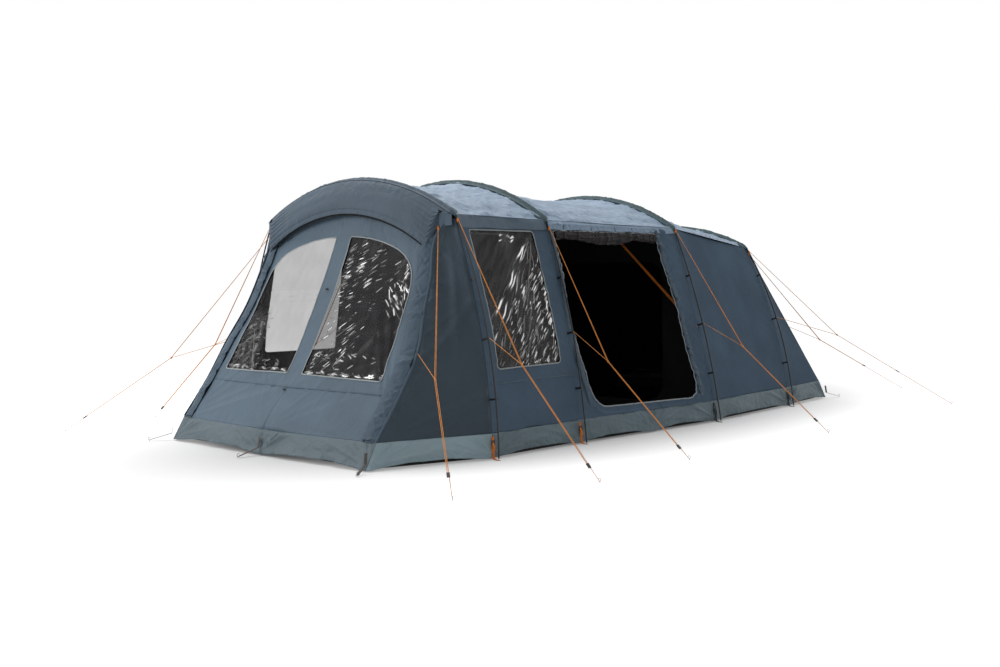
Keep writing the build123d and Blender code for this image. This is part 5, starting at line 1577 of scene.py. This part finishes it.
for letter, (*places, share) in guys.items():
    tie, branch, junction, peg = (np.array(place, float) for place in places)
    along = peg - junction
    run = np.linalg.norm(along)
    along /= run
    across = np.cross(along, (0, 0, 1))
    across *= TWIN_GAP / 2 / np.linalg.norm(across)
    runner = junction + along * share * run
    end = peg + along * PEG_END / along[2] - across
    for side, word in SIDES:
        flip = np.array([side, 1, 1])
        main = [p * flip for p in (tie, junction - across, runner - across, end)]
        second = [p * flip for p in (tie, junction + across, runner + across + along * 0.004)]
        third = [p * flip for p in (branch, junction)]
        node = f"guyline_{letter}_{word}"
        ball(f"guy_knot_{letter}_{word}", tie * flip + (0, 0, -0.012), (0.008, 0.008, 0.018), orange_webbing,
             node)
        ball(f"junction_knot_{letter}_{word}", junction * flip, (0.007, 0.007, 0.009), orange_braid, node)
        long = cord_curve(f"{node}_main", main, orange_braid, node)
        back = cord_curve(f"{node}_return", second, orange_braid, node)
        short = cord_curve(f"{node}_branch", third, orange_braid, node)
    print(f"guyline {letter}: {long:.2f} m out, {back:.2f} m back and a branch of {short:.2f} m, each side")

# %% [markdown]
# ## Foot straps and hem loops
#
# At each pole foot a strap holds the pole's pin to the hem: it comes in under the pin and
# goes up the band through a ladder buckle. Small loops at the front and rear hem take the
# pegs.

# %% Webbing
BUCKLE_Z, STRAP_END = 0.120, 0.160  # heights of the ladder buckles and of the straps' sewn ends
strap_finishes = (orange_webbing, orange_webbing, black_webbing, black_webbing)
for number, (hoop, finish) in enumerate(zip(hoops, strap_finishes), 1):
    foot, hem = float(hoop.leg.x_at(0.0034)), float(hoop.wall.x_at(HEM))
    buckle, strap_end = float(hoop.wall.x_at(BUCKLE_Z)), float(hoop.wall.x_at(STRAP_END))
    for side, word in SIDES:
        flip = np.array([side, 1, 1])
        line = np.array([(foot + 0.009, hoop.y, 0.0012), (hem + 0.030, hoop.y, 0.0012),
                         (hem + 0.010, hoop.y, 0.006), (hem + 0.0035, hoop.y, 0.030),
                         (hem + 0.0025, hoop.y, HEM), (strap_end + 0.0035, hoop.y, STRAP_END)])
        bend = np.array([(0, 0, 1), (0, 0, 1), (0.7, 0, 0.7), (1, 0, 0.1), (1, 0, 0.1), (1, 0, 0.1)], float)
        strip(f"foot_strap_{number}_{word}", line * flip, bend * flip, 0.025, finish, "webbing", "webbing",
              lift=0.0, crown=0.0006, count=90)
        top = np.array([buckle + 0.004, hoop.y - 0.004, BUCKLE_Z])
        tail = np.array([top, top + (0.018, -0.006, -0.020), top + (0.030, -0.014, -0.055)])
        strip(f"strap_tail_{number}_{word}", tail * flip, (side, 0, 0.6), 0.020, finish, "webbing", "webbing",
              lift=0.0, crown=0.0006, count=40)

hem_ties = [((0.0, front_y - 0.012), (0.0, front_y - 0.190)),
            ((FRONT_HALF, front_y), (1.226, front_y - 0.150)), ((REAR_HALF, rear_y), (1.362, rear_y + 0.160))]
for number, (hem, peg) in enumerate(hem_ties, 1):
    for side, word in SIDES[:1] if number == 1 else SIDES:
        flip = np.array([side, 1, 1])
        hem_point, peg_point = np.array([*hem, HEM]), np.array([*peg, 0.010])
        away = peg_point - hem_point
        away[2] = 0
        away /= np.linalg.norm(away)
        line = np.array([hem_point - away * 0.004 + (0, 0, 0.070), hem_point + away * 0.010,
                         peg_point + away * 0.002])
        bend = np.array([away, away + (0, 0, 1), (0, 0, 1.0)])
        strip(f"hem_loop_{number}_{word}", line * flip, bend * flip, 0.022, grey_webbing, "webbing",
              "webbing", lift=0.0, crown=0.001, count=60)

# %% [markdown]
# ## Finishes for the pieces that keep their own shape
#
# The imported clips, pins, buckles, pegs, runners and zips have the right shape already.
# Each only takes its finish.

# %% Finishes on the imported pieces
kept = {"leg_clips": clip_finish, "foot_pins": steel_finish, "foot_buckles": clip_finish,
        "guy_pegs": steel_finish, "hem_pegs": steel_finish, "runner_": runner_finish,
        "roll_toggles": clip_finish, "zip_": zip_finish}
for node, thing in nodes.items():
    for start, finish in kept.items():
        if node.startswith(start):
            for place in thing.material_slots:
                place.material = finish
print(sum(node.startswith(tuple(kept)) for node in nodes), "packed pieces keep their own shape")

# %% [markdown]
# ## Floor, light and air
#
# The studio is white all round. The floor takes the tent's soft shadow from its diffuse
# part and adds a glow that only the camera, mirrors and clear film see, so that it reads
# as white without throwing light on the tent. The glow grows with the distance from the
# tent, measured in tent widths one way and tent lengths the other, so that close to the
# tent it almost vanishes and leaves a painted shadow round the tent's foot. The light comes
# from a large soft box overhead, a weaker one by the camera, and an even sky.

# %% Studio
FLOOR_EDGE, FLOOR_Z = 60, -0.001
WHITE = (1, 1, 1, 1)

floor_mesh = bpy.data.meshes.new("studio_floor")
corners = [(x * FLOOR_EDGE, y * FLOOR_EDGE, FLOOR_Z) for x, y in ((-1, -1), (1, -1), (1, 1), (-1, 1))]
floor_mesh.from_pydata(corners, [], [(0, 1, 2, 3)])
floor = bpy.data.objects.new("studio_floor", floor_mesh)
bpy.context.scene.collection.objects.link(floor)


def seen_directly(tree):
    """1 for rays that the eye reads as background: straight from the camera, mirrored or through film."""
    rays = add(tree, "ShaderNodeLightPath").outputs
    seen = rays["Is Camera Ray"]
    for other in ("Is Glossy Ray", "Is Transmission Ray"):
        seen = add(tree, "ShaderNodeMath", {0: seen, 1: rays[other]}, operation="MAXIMUM").outputs[0]
    return seen


paper = bpy.data.materials.new("white_studio_paper")
paper.use_nodes = True
tree = paper.node_tree
tree.nodes.clear()
matt = add(tree, "ShaderNodeBsdfDiffuse", {"Color": (0.80, 0.80, 0.80, 1)})
place = add(tree, "ShaderNodeTexCoord").outputs["Object"]
scaled = add(tree, "ShaderNodeVectorMath", {0: place, 1: (0.80, 0.37, 1.0)}, operation="MULTIPLY")
distance = add(tree, "ShaderNodeVectorMath", {0: scaled.outputs[0]}, operation="LENGTH")
# the glow is 0.03 within one tent size and 0.80 past two: near the tent this leaves a painted shadow
glow_with_painted_shadow = add(tree, "ShaderNodeMapRange", {"Value": distance.outputs["Value"], "From Min": 1.0,
                                                 "From Max": 2.0, "To Min": 0.03, "To Max": 0.80})
glow = add(tree, "ShaderNodeEmission", {"Color": WHITE, "Strength": glow_with_painted_shadow.outputs[0]})
both = add(tree, "ShaderNodeAddShader", {0: matt.outputs[0], 1: glow.outputs[0]})
choice = add(tree, "ShaderNodeMixShader", {0: seen_directly(tree), 1: matt.outputs[0], 2: both.outputs[0]})
add(tree, "ShaderNodeOutputMaterial", {"Surface": choice.outputs[0]})
floor_mesh.materials.append(paper)

world = bpy.data.worlds.new("studio_air")
bpy.context.scene.world = world
world.use_nodes = True
tree = world.node_tree
tree.nodes.clear()
strength = add(tree, "ShaderNodeMapRange", {"Value": seen_directly(tree), "To Min": 0.30, "To Max": 1.0})
air = add(tree, "ShaderNodeBackground", {"Color": WHITE, "Strength": strength.outputs[0]})
add(tree, "ShaderNodeOutputWorld", {"Surface": air.outputs[0]})


def soft_box(name, place, target, width, height, power):
    """A rectangle of light that faces a target."""
    lamp = bpy.data.lights.new(name, "AREA")
    lamp.shape, lamp.size, lamp.size_y, lamp.energy = "RECTANGLE", width, height, power
    thing = bpy.data.objects.new(name, lamp)
    aim = Vector(target) - Vector(place)
    thing.matrix_world = Matrix.Translation(place) @ aim.to_track_quat("-Z", "Y").to_matrix().to_4x4()
    bpy.context.scene.collection.objects.link(thing)


soft_box("overhead_box", (-2.0, -0.5, 7.0), (0, 0, 0), 6.0, 8.0, 290)
soft_box("front_box", (-4.0, -9.0, 4.0), (0, -1.5, 0.9), 4.0, 4.0, 210)
bpy.context.scene.view_settings.view_transform = "Standard"
print("studio: a floor, an even sky and two soft boxes")
